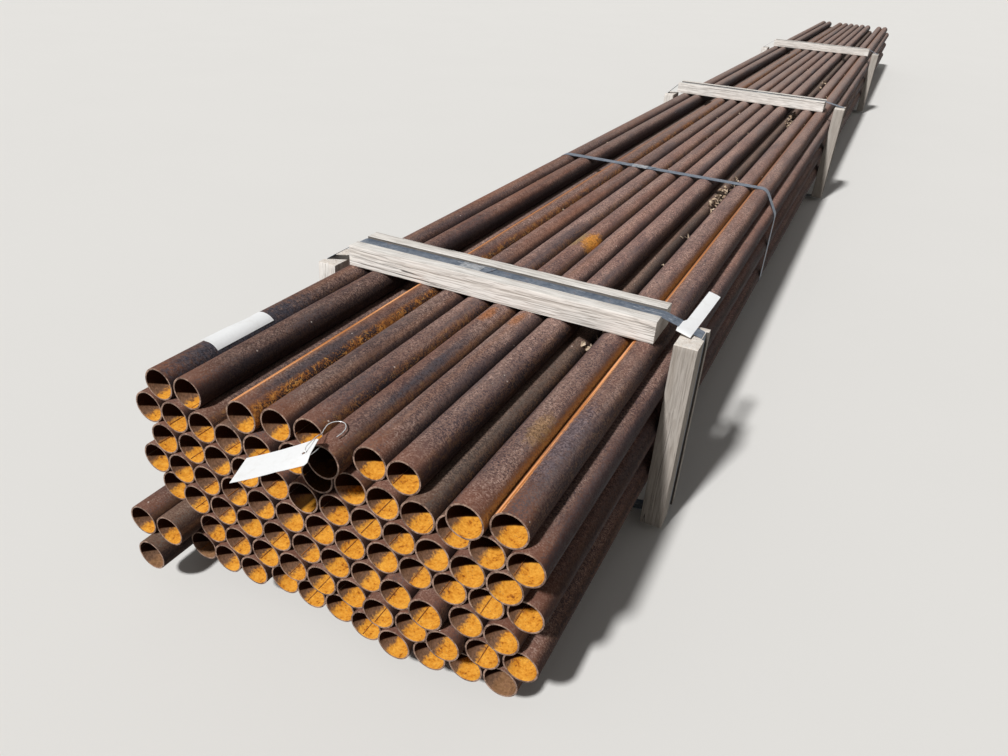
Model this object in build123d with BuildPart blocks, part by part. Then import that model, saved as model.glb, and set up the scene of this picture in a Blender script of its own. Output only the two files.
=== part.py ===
from build123d import *
import math
import os

# A bundle of welded steel pipes, strapped between grooved timbers.
#
# X runs across the bundle, Y along the pipes with the tagged ends at -Y, and Z up
# from the floor under the bottom timbers. All sizes are in millimetres.

# Pipes: seven nested rows, every second row one pipe longer
pipe_od = 60.3
pipe_wall = 3.2
pipe_length = 9750.0
side_gap = 0.4
seat_gap = 0.3
row_total = 7
short_row_pipes = 12
empty_top_places = (2, 9)

# Where the pipe ends stand, measured along Y from the nominal end plane
end_slant = -1.5
end_rake = -2.5
end_scatter = 1.5
end_offsets = {
    (1, 1): 7.0,
    (1, 4): 14.0,
    (1, 5): 18.0,
    (1, 6): -23.0,
    (1, 7): 10.0,
    (1, 8): 6.0,
    (1, 10): -29.0,
    (1, 11): -13.0,
    (2, 5): 15.0,
    (2, 11): -10.0,
    (2, 12): -14.0,
    (3, 9): -6.0,
    (3, 10): -6.0,
    (3, 11): -8.0,
    (4, 12): 10.0,
    (5, 0): 6.0,
    (5, 8): -8.0,
    (5, 9): -17.0,
    (6, 0): -46.0,
    (6, 1): -44.0,
    (6, 8): -9.0,
    (6, 9): -8.0,
    (6, 10): -14.0,
    (6, 11): 6.0,
    (6, 12): 12.0,
    (7, 0): -63.0,
    (7, 4): 11.0,
    (7, 5): 10.0,
    (7, 6): 7.0,
    (7, 8): -9.0,
    (7, 10): 13.0,
    (7, 11): 14.0,
}

# Timbers: one section for bars and posts, grooved along one face for the strap
timber_width = 105.0
timber_thickness = 46.0
timber_arris = 2.0
groove_width = 38.0
groove_depth = 5.0
post_drop = 28.0

# Cribs, each a bar above, a bar below and a post on either side
first_crib_setback = 556.0
crib_spacing = 2865.0
top_bar_left_gap = (51.0, 18.0, 42.0)
top_bar_right_gap = (41.0, 50.0, 28.0)
bottom_bar_gap = 36.0
left_post_shift = (12.0, 5.0, -4.0)
right_post_shift = (-17.0, -16.0, 4.0)
left_post_rise = (12.0, 14.0, 10.0)
right_post_rise = (49.0, 55.0, 46.0)
crib_seal_place = (-66.0, 40.0, -150.0)

# Steel strap and its crimped seals
strap_width = 32.0
strap_thickness = 0.8
strap_lap_before = 38.0
strap_lap_after = 52.0
middle_strap_setback = 1822.0
middle_seal_place = -70.0
seal_length = 50.0
seal_sheet = 1.0
seal_play = 0.15
notch_radius = 3.5
notch_depth = 2.0
notch_spacing = 20.0

# Card tag on a wire hook at one pipe's mouth
tag_pipe_index = 6
tag_length = 122.0
tag_width = 60.0
tag_thickness = 0.6
tag_corner = 12.0
tag_hole_radius = 4.0
tag_hole_inset = 12.0
tag_hole_point = (1.9, -38.4, 40.7)
tag_down_slope = (-0.855, -0.31, -0.415)
tag_face_normal = (-0.39, -0.141, 0.909)
wire_diameter = 1.6
wire_bend = 4.0
wire_points = (
    (-4.0, 42.0, 25.5),
    (-3.0, 2.0, 25.5),
    (0.0, -14.0, 28.0),
    (6.0, -37.0, 36.0),
    (3.0, -38.0, 48.0),
    (-1.0, -18.0, 47.5),
    (-6.0, 2.0, 43.5),
    (-9.0, 18.0, 35.5),
    (-19.0, 34.0, 34.0),
    (-19.0, 52.0, 34.0),
    (-6.0, 60.0, 34.0),
    (8.0, 50.0, 34.0),
    (13.0, 23.0, 34.0),
)

# Paper labels
label_sheet = 0.3
pipe_label_setback = 124.0
pipe_label_length = 145.0
pipe_label_start = 40.0
pipe_label_arc = 77.0
pipe_label_lift = 0.1
band_label_width = 26.0
band_label_length = 220.0
band_label_return = 58.0
band_label_front = 42.0
band_label_sheet = 0.5
band_label_play = 0.2
band_label_gap = 42.0

# Values worked out from the ones above
pipe_radius = pipe_od / 2
pitch = pipe_od + side_gap
row_height = math.sqrt((pipe_od + seat_gap) ** 2 - (pitch / 2) ** 2)
bottom_row_height = timber_thickness + seat_gap + pipe_radius
top_row_height = bottom_row_height + (row_total - 1) * row_height
crib_total = len(left_post_shift)
post_face = short_row_pipes / 2 * pitch + pipe_radius + seat_gap
post_groove_floor = post_face + timber_thickness - groove_depth
post_foot = timber_thickness - post_drop
bottom_bar_end = post_face - bottom_bar_gap
top_bar_underside = top_row_height + pipe_radius + seat_gap
top_groove_floor = top_bar_underside + timber_thickness - groove_depth


def row_places(row):
    """Place number and X of every pipe of a row, row 1 being the top one."""
    count = short_row_pipes + (row + 1) % 2
    left = -(count - 1) / 2 * pitch
    return [
        (place, left + place * pitch)
        for place in range(count)
        if row > 1 or place not in empty_top_places
    ]


def row_centre_height(row):
    """Z of the pipe centres of a row."""
    return bottom_row_height + (row_total - row) * row_height


def end_offset(row, place, x):
    """How far a pipe's near end stands behind the nominal end plane."""
    slant = end_slant * x / pitch
    rake = end_rake * (row - 1)
    scatter = end_scatter * math.sin(2.4 * place + 1.7 * row)
    return slant + rake + scatter + end_offsets.get((row, place), 0.0)


rows = range(1, row_total + 1)
all_offsets = [end_offset(row, place, x) for row in rows for place, x in row_places(row)]
tag_pipe_x = dict(row_places(1))[tag_pipe_index]
tag_pipe_end = end_offset(1, tag_pipe_index, tag_pipe_x)
tag_far_edge = tag_length - tag_hole_inset
tag_slope_plane = Plane(origin=(0, 0, 0), x_dir=tag_down_slope, z_dir=tag_face_normal)
tag_reach = min(
    tag_slope_plane.from_local_coords(Vector(tag_far_edge, side * tag_width / 2, 0)).Y
    for side in (-1, 1)
)
front_reach = min(min(all_offsets), tag_pipe_end + tag_hole_point[1] + tag_reach)
near_end = -(front_reach + pipe_length + max(all_offsets)) / 2
tag_plane = Plane(
    origin=(
        tag_pipe_x + tag_hole_point[0],
        near_end + tag_pipe_end + tag_hole_point[1],
        top_row_height + tag_hole_point[2],
    ),
    x_dir=tag_down_slope,
    z_dir=tag_face_normal,
)
middle_strap_centre = near_end + middle_strap_setback


def crib_centre(crib):
    """Y of the middle of a crib's bars, crib 0 being the one nearest the tag."""
    return near_end + first_crib_setback + timber_width / 2 + crib * crib_spacing


def grooved_section(groove_shift=0.0):
    """The timber's section, with the groove in its upper side."""
    with BuildSketch() as section:
        Rectangle(timber_width, timber_thickness)
        chamfer(section.vertices(), timber_arris)
        with Locations((groove_shift, timber_thickness / 2)):
            Rectangle(groove_width, 2 * groove_depth, mode=Mode.SUBTRACT)
    return section.sketch


def pipe_row(row):
    """One row of pipes, side by side with a small gap between them."""
    with BuildPart() as pipes:
        for place, x in row_places(row):
            mouth = near_end + end_offset(row, place, x)
            with BuildSketch(Plane.XZ.offset(-mouth)):
                with Locations((x, row_centre_height(row))):
                    Circle(pipe_radius)
                    Circle(pipe_radius - pipe_wall, mode=Mode.SUBTRACT)
            extrude(amount=-pipe_length)
    pipes.part.label = f"pipe_row_{row}"
    return pipes.part


def crib_bar(name, crib, ends, height, groove_side):
    """A bar across the bundle from one end's X to the other's, its groove turned away from the pipes."""
    section = grooved_section()
    left_end, right_end = ends
    bar_plane = Plane(
        origin=(left_end, crib_centre(crib), height),
        x_dir=(0, groove_side, 0),
        z_dir=(1, 0, 0),
    )
    with BuildPart() as bar:
        with BuildSketch(bar_plane):
            add(section)
        extrude(amount=right_end - left_end)
    bar.part.label = name
    return bar.part


def crib_post(name, crib, side, shift, rise):
    """A post beside the bundle, its groove outwards and in line with the bars' grooves."""
    section = grooved_section(side * shift)
    foot_plane = Plane(
        origin=(side * (post_face + timber_thickness / 2), crib_centre(crib) + shift, post_foot),
        x_dir=(0, -side, 0),
        z_dir=(0, 0, 1),
    )
    with BuildPart() as post:
        with BuildSketch(foot_plane):
            add(section)
        extrude(amount=top_row_height + rise - post_foot)
    post.part.label = name
    return post.part


def strap_loop(name, centre, corners, stand_off, lap_height, seal_place):
    """A closed strap, pulled tight round the corners, with its ends lapped under the seal.

    The strap's inner face stays stand_off from the corner points. The outer end
    of the lap lies on top of the loop, at lap_height.
    """
    lap_length = strap_lap_before + strap_lap_after
    lap_centre = seal_place + (strap_lap_after - strap_lap_before) / 2
    with BuildPart() as strap:
        with BuildSketch(Plane.XZ.offset(-centre)) as ring:
            with BuildLine():
                Polyline(*corners, close=True)
            make_face()
            offset(amount=stand_off + strap_thickness, kind=Kind.ARC)
            with BuildSketch(mode=Mode.PRIVATE) as inside:
                with BuildLine():
                    Polyline(*corners, close=True)
                make_face()
                if stand_off > 0:
                    offset(amount=stand_off, kind=Kind.ARC)
            add(inside.sketch, mode=Mode.SUBTRACT)
            with Locations((lap_centre, lap_height + strap_thickness * 1.5)):
                Rectangle(lap_length, strap_thickness)
        extrude(amount=strap_width / 2, both=True)
    strap.part.label = name
    return strap.part


def top_bar_ends(crib):
    """X of a top bar's two ends, each a gap short of its post's inner face."""
    return (top_bar_left_gap[crib] - post_face, post_face - top_bar_right_gap[crib])


def crib_strap_corners(crib):
    """The corners that a crib's strap is pulled round, seen along the pipes."""
    left_bar_end, right_bar_end = top_bar_ends(crib)
    return [
        (left_bar_end, top_groove_floor),
        (right_bar_end, top_groove_floor),
        (post_groove_floor, top_row_height + right_post_rise[crib]),
        (post_groove_floor, post_foot),
        (bottom_bar_end, groove_depth),
        (-bottom_bar_end, groove_depth),
        (-post_groove_floor, post_foot),
        (-post_groove_floor, top_row_height + left_post_rise[crib]),
    ]


def bundle_corners():
    """Centres of the pipes at the bundle's corners, which the middle strap goes round."""
    short_edge = (short_row_pipes - 1) / 2 * pitch
    long_edge = short_row_pipes / 2 * pitch
    second = row_centre_height(2)
    sixth = row_centre_height(row_total - 1)
    return [
        (-short_edge, top_row_height),
        (short_edge, top_row_height),
        (long_edge, second),
        (long_edge, sixth),
        (short_edge, bottom_row_height),
        (-short_edge, bottom_row_height),
        (-long_edge, sixth),
        (-long_edge, second),
    ]


def strap_seal(name, centre, base, place):
    """A seal folded down over the lapped strap, with crimp notches in both edges."""
    inner_width = strap_width + 2 * seal_play
    inner_height = 2 * strap_thickness + seal_play
    outer_width = inner_width + 2 * seal_sheet
    outer_height = inner_height + seal_sheet
    notch_line = outer_width / 2 + notch_radius - notch_depth
    with BuildPart() as seal:
        with BuildSketch(Plane.YZ.offset(place)):
            with Locations((centre, base + outer_height / 2)):
                Rectangle(outer_width, outer_height)
            with Locations((centre, base + inner_height / 2)):
                Rectangle(inner_width, inner_height, mode=Mode.SUBTRACT)
        extrude(amount=seal_length / 2, both=True)
        with BuildSketch(Plane.XY.offset(base)):
            with Locations((place, centre)):
                with GridLocations(notch_spacing, 2 * notch_line, 2, 2):
                    Circle(notch_radius)
        extrude(amount=outer_height, mode=Mode.SUBTRACT)
    seal.part.label = name
    return seal.part


def hang_tag():
    """The card tag, its corners cut beside the wire hole."""
    half_width = tag_width / 2
    with BuildPart() as tag:
        with BuildSketch(tag_plane):
            with BuildLine():
                Polyline(
                    (tag_far_edge, -half_width),
                    (tag_far_edge, half_width),
                    (tag_corner - tag_hole_inset, half_width),
                    (-tag_hole_inset, half_width - tag_corner),
                    (-tag_hole_inset, tag_corner - half_width),
                    (tag_corner - tag_hole_inset, -half_width),
                    close=True,
                )
            make_face()
            Circle(tag_hole_radius, mode=Mode.SUBTRACT)
        extrude(amount=tag_thickness)
    tag.part.label = "hang_tag"
    return tag.part


def tag_wire():
    """The wire hook: one leg in the pipe's mouth, through the tag, the other over the pipe."""
    pipe_mouth = Vector(tag_pipe_x, near_end + tag_pipe_end, top_row_height)
    route = [pipe_mouth + Vector(*point) for point in wire_points]
    with BuildPart() as wire:
        with BuildLine() as path:
            FilletPolyline(*route, radius=wire_bend)
        with BuildSketch(path.line ^ 0):
            Circle(wire_diameter / 2)
        sweep()
    wire.part.label = "tag_wire"
    return wire.part


def pipe_label():
    """The paper label lying round the top of the first pipe of the top row."""
    first_pipe_x = row_places(1)[0][1]
    inner = pipe_radius + pipe_label_lift
    outer = inner + label_sheet
    centre = (first_pipe_x, top_row_height)
    with BuildPart() as label:
        with BuildSketch(Plane.XZ.offset(-(near_end + pipe_label_setback))):
            with BuildLine():
                inside = CenterArc(centre, inner, pipe_label_start, pipe_label_arc)
                outside = CenterArc(centre, outer, pipe_label_start, pipe_label_arc)
                Line(inside @ 0, outside @ 0)
                Line(inside @ 1, outside @ 1)
            make_face()
        extrude(amount=-pipe_label_length)
    label.part.label = "pipe_label"
    return label.part


def band_label():
    """The long paper label folded round the near crib's strap beside the right post."""
    corners = crib_strap_corners(0)
    bar_end = Vector(*corners[1])
    post_top = Vector(*corners[2])
    run = (post_top - bar_end).normalized()
    start = bar_end + run * (band_label_gap + band_label_width / 2)
    front = -strap_width / 2 - band_label_front
    upper = strap_thickness + band_label_play + band_label_sheet / 2
    lower = -band_label_play - band_label_sheet / 2
    label_plane = Plane(
        origin=(start.X, crib_centre(0), start.Y),
        x_dir=(0, 1, 0),
        z_dir=(run.X, 0, run.Y),
    )
    with BuildPart() as label:
        with BuildSketch(label_plane):
            with Locations((front + band_label_length / 2, upper)):
                Rectangle(band_label_length, band_label_sheet)
            with Locations((front + band_label_return / 2, lower)):
                Rectangle(band_label_return, band_label_sheet)
            with Locations((front - band_label_sheet / 2, (upper + lower) / 2)):
                Rectangle(band_label_sheet, upper - lower + band_label_sheet)
        extrude(amount=band_label_width / 2, both=True)
    label.part.label = "band_label"
    return label.part


parts = [pipe_row(row) for row in rows]
top_bar_height = top_bar_underside + timber_thickness / 2
bottom_bar_ends = (-bottom_bar_end, bottom_bar_end)
for crib in range(crib_total):
    number = crib + 1
    corners = crib_strap_corners(crib)
    seal_place = crib_seal_place[crib]
    parts += [
        crib_bar(f"top_bar_{number}", crib, top_bar_ends(crib), top_bar_height, 1),
        crib_bar(f"bottom_bar_{number}", crib, bottom_bar_ends, timber_thickness / 2, -1),
        crib_post(f"left_post_{number}", crib, -1, left_post_shift[crib], left_post_rise[crib]),
        crib_post(f"right_post_{number}", crib, 1, right_post_shift[crib], right_post_rise[crib]),
        strap_loop(f"crib_strap_{number}", crib_centre(crib), corners, 0.0, top_groove_floor, seal_place),
        strap_seal(f"crib_seal_{number}", crib_centre(crib), top_groove_floor, seal_place),
    ]

middle_strap_top = top_row_height + pipe_radius + seat_gap
parts += [
    strap_loop(
        "middle_strap",
        middle_strap_centre,
        bundle_corners(),
        pipe_radius + seat_gap,
        middle_strap_top,
        middle_seal_place,
    ),
    strap_seal("middle_seal", middle_strap_centre, middle_strap_top, middle_seal_place),
    hang_tag(),
    tag_wire(),
    pipe_label(),
    band_label(),
]

os.makedirs("parts", exist_ok=True)
for part in parts:
    export_step(part, f"parts/{part.label}.step")
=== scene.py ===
"""Looks for a strapped bundle of rusty steel pipes between grooved timbers.

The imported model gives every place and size. This script replaces its plain pipes, timbers,
straps, seals, tag and labels with finished pieces, and sets the floor, light and camera.
"""

import logging
import math
import random
from dataclasses import dataclass, field
from enum import Enum

import bmesh
import bpy
import numpy as np
from mathutils import Matrix, Vector

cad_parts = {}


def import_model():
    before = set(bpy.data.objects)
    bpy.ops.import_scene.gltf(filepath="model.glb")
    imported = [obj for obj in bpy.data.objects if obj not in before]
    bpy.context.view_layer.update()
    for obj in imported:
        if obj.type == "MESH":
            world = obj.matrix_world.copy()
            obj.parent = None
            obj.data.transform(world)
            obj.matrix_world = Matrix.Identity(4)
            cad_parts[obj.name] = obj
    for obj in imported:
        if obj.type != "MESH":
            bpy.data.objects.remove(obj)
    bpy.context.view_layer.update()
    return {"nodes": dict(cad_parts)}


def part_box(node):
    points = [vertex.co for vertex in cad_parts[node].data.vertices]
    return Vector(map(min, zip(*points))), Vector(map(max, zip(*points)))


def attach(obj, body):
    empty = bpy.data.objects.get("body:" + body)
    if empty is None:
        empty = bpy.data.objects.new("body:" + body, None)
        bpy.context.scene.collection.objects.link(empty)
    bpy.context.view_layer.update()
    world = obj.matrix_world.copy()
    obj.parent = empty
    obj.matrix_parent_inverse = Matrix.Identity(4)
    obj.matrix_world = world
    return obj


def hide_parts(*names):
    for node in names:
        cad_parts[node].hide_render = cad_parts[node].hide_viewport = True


log = logging.getLogger("pipe_bundle")

ROW_COUNT = 7
CRIB_COUNT = 3
FIRST_CRIB_SETBACK = 0.556
TAG_PIPE = 6
LEFT_SLOT = 2
RIGHT_SLOT = 9
LABEL_PAPER = 0.00035
SAME_POINT = 1e-6
HAIR = 1e-4
FACES_END = 0.9

Piece = bpy.types.Object
Material = bpy.types.Material
Tree = bpy.types.NodeTree
Node = bpy.types.Node
Socket = bpy.types.NodeSocket
Triple = tuple[float, float, float]
Colour = Triple
Span = tuple[float, float]
ByPipe = dict[tuple[int, int], float]


class Slot(Enum):
    """The record's material slots."""

    PIPE = "rusted_steel"
    TIMBER = "weathered_timber"
    STRAP = "strap_steel"
    WIRE = "tag_wire"
    CARD = "tag_card"
    PAPER = "label_paper"


class Grain(Enum):
    """Which way a timber's grain runs, as the turn that lays it along X."""

    ALONG_X = (0.0, 0.0, 0.0)
    ALONG_Z = (0.0, math.pi / 2, 0.0)


def deselect_all() -> None:
    """Leave object mode with nothing selected."""
    if bpy.context.object and bpy.context.object.mode != "OBJECT":
        bpy.ops.object.mode_set(mode="OBJECT")
    bpy.ops.object.select_all(action="DESELECT")


def take_up(piece: Piece) -> None:
    """Make one piece the only selected and active one.

    Args:
        piece: The object to work on.
    """
    deselect_all()
    piece.select_set(True)
    bpy.context.view_layer.objects.active = piece


def start_edit(piece: Piece, mode: str = "FACE") -> None:
    """Open a piece in edit mode with nothing selected.

    Args:
        piece: The object to open.
        mode: VERT, EDGE or FACE.
    """
    take_up(piece)
    bpy.ops.object.mode_set(mode="EDIT")
    bpy.ops.mesh.select_mode(type=mode)
    bpy.ops.mesh.select_all(action="DESELECT")


def end_edit() -> None:
    """Go back to object mode."""
    bpy.ops.object.mode_set(mode="OBJECT")


def pick_all() -> None:
    """Select the whole mesh in edit mode."""
    bpy.ops.mesh.select_all(action="SELECT")


def pick_faces(piece: Piece, wanted) -> None:
    """Select the faces of the piece in edit mode that a test accepts.

    Args:
        piece: The object in edit mode.
        wanted: A test that takes a face's centre and normal.
    """
    mesh = bmesh.from_edit_mesh(piece.data)
    for face in mesh.faces:
        face.select_set(bool(wanted(face.calc_center_median(), face.normal)))
    mesh.select_flush_mode()
    bmesh.update_edit_mesh(piece.data)


def pick_edges(piece: Piece, wanted) -> None:
    """Select the edges of the piece in edit mode that a test accepts.

    Args:
        piece: The object in edit mode.
        wanted: A test that takes an edge's two end points.
    """
    mesh = bmesh.from_edit_mesh(piece.data)
    for edge in mesh.edges:
        edge.select_set(bool(wanted(edge.verts[0].co, edge.verts[1].co)))
    bmesh.update_edit_mesh(piece.data)


def cut_across(points: list[Vector], normal: Vector) -> None:
    """Cut the whole mesh in edit mode through each point, across one direction.

    Args:
        points: A point on each cut.
        normal: The direction the cuts are square to.
    """
    for point in points:
        pick_all()
        bpy.ops.mesh.bisect(plane_co=point, plane_no=normal, threshold=SAME_POINT)


def apply_modifier(piece: Piece, kind: str, **settings) -> None:
    """Add one modifier and apply it.

    Args:
        piece: The object to change.
        kind: The modifier's type.
        settings: Its values.
    """
    take_up(piece)
    modifier = piece.modifiers.new(kind.lower(), kind)
    for name, value in settings.items():
        setattr(modifier, name, value)
    bpy.ops.object.modifier_apply(modifier=modifier.name)


def settle(piece: Piece, place: Matrix | None = None) -> None:
    """Put a piece in its place and move that place into its mesh.

    Args:
        piece: The object.
        place: Where it goes, or None to keep where it stands.
    """
    if place is not None:
        piece.matrix_world = place @ piece.matrix_world
    take_up(piece)
    bpy.ops.object.transform_apply(location=True, rotation=True, scale=True)


def name_piece(piece: Piece, name: str) -> None:
    """Name an object and its mesh."""
    piece.name = name
    piece.data.name = name


def turn_outwards() -> None:
    """Turn every face of the mesh in edit mode outwards."""
    pick_all()
    bpy.ops.mesh.normals_make_consistent(inside=False)


def face_outwards(piece: Piece) -> None:
    """Turn every face of a closed piece outwards.

    Args:
        piece: The object.
    """
    start_edit(piece)
    turn_outwards()
    end_edit()


def join_pieces(pieces: list[Piece], name: str) -> Piece:
    """Join several objects into one mesh.

    Args:
        pieces: The objects, of which the first stays.
        name: The joined object's name.

    Returns:
        The joined object.
    """
    deselect_all()
    for piece in pieces:
        piece.select_set(True)
    bpy.context.view_layer.objects.active = pieces[0]
    if len(pieces) > 1:
        bpy.ops.object.join()
    name_piece(pieces[0], name)
    return pieces[0]


def smooth_faces(piece: Piece, degrees: float) -> None:
    """Shade smooth, but keep edges that are sharper than this many degrees."""
    take_up(piece)
    bpy.ops.object.shade_smooth_by_angle(angle=math.radians(degrees))


def new_grid(columns: int, rows: int) -> Piece:
    """Add a flat grid of one metre, to be shaped."""
    bpy.ops.mesh.primitive_grid_add(x_subdivisions=columns, y_subdivisions=rows, size=1.0)
    return bpy.context.object


def copy_of(piece: Piece) -> Piece:
    """A copy with its own mesh.

    Args:
        piece: The object to copy.

    Returns:
        The new object.
    """
    twin = piece.copy()
    twin.data = piece.data.copy()
    bpy.context.collection.objects.link(twin)
    return twin


def paint_value(piece: Piece, name: str, value: float) -> None:
    """Give every point of a mesh the same value of a named attribute."""
    layer = piece.data.attributes.new(name, "FLOAT", "POINT")
    layer.data.foreach_set("value", [value] * len(piece.data.vertices))


def chance(seed: int) -> random.Random:
    """A dataclass field with a source of chance that gives the same run each time."""
    return field(default_factory=lambda: random.Random(seed))


def by_pipe(values: ByPipe) -> ByPipe:
    """A dataclass field with values for single pipes, by row and place."""
    return field(default_factory=lambda: dict(values))


def hand_over(piece: Piece, slot: Slot, *nodes: str) -> None:
    """Make a finished piece ride on the bundle and stand for its nodes.

    Args:
        piece: The finished object.
        slot: Not used.
        nodes: The nodes that it replaces.
    """
    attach(piece, "root")
    if nodes:
        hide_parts(*nodes)
    log.info("%s: %d faces", piece.name, len(piece.data.polygons))


class Sheet:
    """Adds nodes to one node tree and joins them."""

    def __init__(self, tree: Tree) -> None:
        """Start on a material's or group's node tree."""
        self.tree = tree

    def node(self, kind: str, **settings) -> Node:
        """Add a node.

        Args:
            kind: The node's type name without its ShaderNode prefix.
            settings: Values of its own, such as operation.

        Returns:
            The node.
        """
        made = self.tree.nodes.new(kind if kind.startswith("Node") else "ShaderNode" + kind)
        for name, value in settings.items():
            setattr(made, name, value)
        return made

    def feed(self, target: Socket, value) -> None:
        """Join a socket to an input, or set the input to a constant.

        Args:
            target: The input socket.
            value: An output socket, a number or a colour.
        """
        if isinstance(value, Socket):
            self.tree.links.new(value, target)
        elif isinstance(value, tuple) and len(value) == 3 and target.type == "RGBA":
            target.default_value = (*value, 1.0)
        else:
            target.default_value = value

    def math(self, operation: str, first, second=0.0, clamp: bool = False) -> Socket:
        """Do one sum.

        Args:
            operation: The Math node's operation.
            first: Its first value.
            second: Its second value.
            clamp: Whether the result is held between 0 and 1.

        Returns:
            The result.
        """
        made = self.node("Math", operation=operation, use_clamp=clamp)
        self.feed(made.inputs[0], first)
        self.feed(made.inputs[1], second)
        return made.outputs[0]

    def mix(self, share, low, high, blend: str = "MIX") -> Socket:
        """Mix two colours.

        Args:
            share: How much of the second colour, from 0 to 1.
            low: The first colour.
            high: The second colour.
            blend: The blend type.

        Returns:
            The mixed colour.
        """
        made = self.node("Mix", data_type="RGBA", blend_type=blend)
        self.feed(made.inputs["Factor"], share)
        self.feed(made.inputs[6], low)
        self.feed(made.inputs[7], high)
        return made.outputs[2]

    def ease(self, value, low, high) -> Socket:
        """Rise smoothly from 0 to 1 between two values.

        Args:
            value: What is measured.
            low: Where the result is 0.
            high: Where the result is 1.

        Returns:
            The mask.
        """
        made = self.node("MapRange", interpolation_type="SMOOTHSTEP")
        self.feed(made.inputs["Value"], value)
        self.feed(made.inputs["From Min"], low)
        self.feed(made.inputs["From Max"], high)
        return made.outputs["Result"]

    def fall(self, value, low, high) -> Socket:
        """Fall smoothly from 1 to 0 between two values."""
        return self.minus(1.0, self.ease(value, low, high))

    def plus(self, first, second) -> Socket:
        """The sum of two values."""
        return self.math("ADD", first, second)

    def minus(self, first, second) -> Socket:
        """What is left of the first value without the second."""
        return self.math("SUBTRACT", first, second)

    def times(self, first, second) -> Socket:
        """The product of two values."""
        return self.math("MULTIPLY", first, second)

    def level(self, value, slope: float, start) -> Socket:
        """A value times its slope, with the start added."""
        return self.plus(self.times(value, slope), start)

    def laid(self, colour, over, mask, strength: float) -> Socket:
        """A colour with another laid over it, as far as a mask times a strength says."""
        return self.mix(self.times(mask, strength), colour, over)

    def clouds(self, where, size, detail: float = 3.0, rough: float = 0.55) -> Socket:
        """A noise pattern.

        Args:
            where: The coordinates.
            size: Features for each metre.
            detail: How many finer layers it has.
            rough: How strong they are.

        Returns:
            The pattern, around 0.5.
        """
        made = self.node("TexNoise")
        self.feed(made.inputs["Vector"], where)
        self.feed(made.inputs["Scale"], size)
        self.feed(made.inputs["Detail"], detail)
        self.feed(made.inputs["Roughness"], rough)
        return made.outputs[0]

    def turned(
        self,
        where,
        turn: Triple = (0.0, 0.0, 0.0),
        scale: Triple = (1.0, 1.0, 1.0),
        shift: Triple = (0.0, 0.0, 0.0),
    ) -> Socket:
        """Coordinates moved, turned and stretched.

        Args:
            where: The coordinates.
            turn: The turn in radians.
            scale: The stretch.
            shift: The move.

        Returns:
            The new coordinates.
        """
        made = self.node("Mapping")
        self.feed(made.inputs["Vector"], where)
        made.inputs["Location"].default_value = shift
        made.inputs["Rotation"].default_value = turn
        made.inputs["Scale"].default_value = scale
        return made.outputs[0]

    def grains(self, where, size) -> Socket:
        """A value from 0 to 1 that jumps from one small grain to the next.

        Args:
            where: The coordinates.
            size: Grains for each metre.

        Returns:
            The value.
        """
        cells = self.node("TexVoronoi")
        self.feed(cells.inputs["Vector"], where)
        self.feed(cells.inputs["Scale"], size)
        split = self.node("SeparateColor")
        self.feed(split.inputs[0], cells.outputs["Color"])
        return split.outputs[0]

    def ramp(self, value, stops: tuple[tuple[float, Colour], ...]) -> Socket:
        """A colour that runs through several stops.

        Args:
            value: Where on the run it is.
            stops: Each stop's place and colour, in order.

        Returns:
            The colour.
        """
        made = self.node("ValToRGB")
        self.feed(made.inputs[0], value)
        points = made.color_ramp.elements
        while len(points) < len(stops):
            points.new(0.5)
        for point, (place, colour) in zip(points, stops):
            point.position = place
            point.color = (*colour, 1.0)
        return made.outputs[0]

    def shaded(self, colour, shade) -> Socket:
        """Make a colour lighter or darker.

        Args:
            colour: The colour.
            shade: What it is multiplied by.

        Returns:
            The colour.
        """
        grey = self.node("CombineColor")
        for channel in range(3):
            self.feed(grey.inputs[channel], shade)
        return self.mix(1.0, colour, grey.outputs[0], blend="MULTIPLY")

    def place(self) -> Socket:
        """The point's place on the object."""
        return self.node("TexCoord").outputs["Object"]

    def split(self, vector: Socket) -> Node:
        """A vector's three numbers, X, Y and Z."""
        made = self.node("SeparateXYZ")
        self.feed(made.inputs[0], vector)
        return made

    def looked_at(self) -> Socket:
        """1 for the camera and for reflections, and 0 for light that bounces."""
        path = self.node("LightPath")
        return self.math("MAXIMUM", path.outputs["Is Camera Ray"], path.outputs["Is Glossy Ray"])

    def facing(self) -> Node:
        """The surface's normal as three numbers, X, Y and Z."""
        return self.split(self.node("NewGeometry").outputs["Normal"])

    def wrapped(self) -> Node:
        """The place on a pipe: X is the way round, and Y the metres along."""
        return self.split(self.node("UVMap", uv_map="wrap").outputs[0])

    def depth(self, pipe_length: float) -> Socket:
        """Metres inside the nearer end of a pipe of this length."""
        from_near = self.wrapped().outputs[1]
        return self.math("MINIMUM", from_near, self.minus(pipe_length, from_near))

    def value_of(self, name: str) -> Socket:
        """The number that an attribute of this name paints on the mesh."""
        made = self.node("Attribute", attribute_name=name)
        return made.outputs["Fac"]

    def mask(self, group: Tree, **values) -> Socket:
        """Place a shared group that has one output, and give that."""
        return self.use(group, **values).outputs[0]

    def use(self, group: Tree, **values) -> Node:
        """Place a shared group with its own values.

        Args:
            group: The node group.
            values: Its inputs by name.

        Returns:
            The group's node.
        """
        made = self.node("Group", node_tree=group)
        for name, value in values.items():
            self.feed(made.inputs[name], value)
        return made


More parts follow.
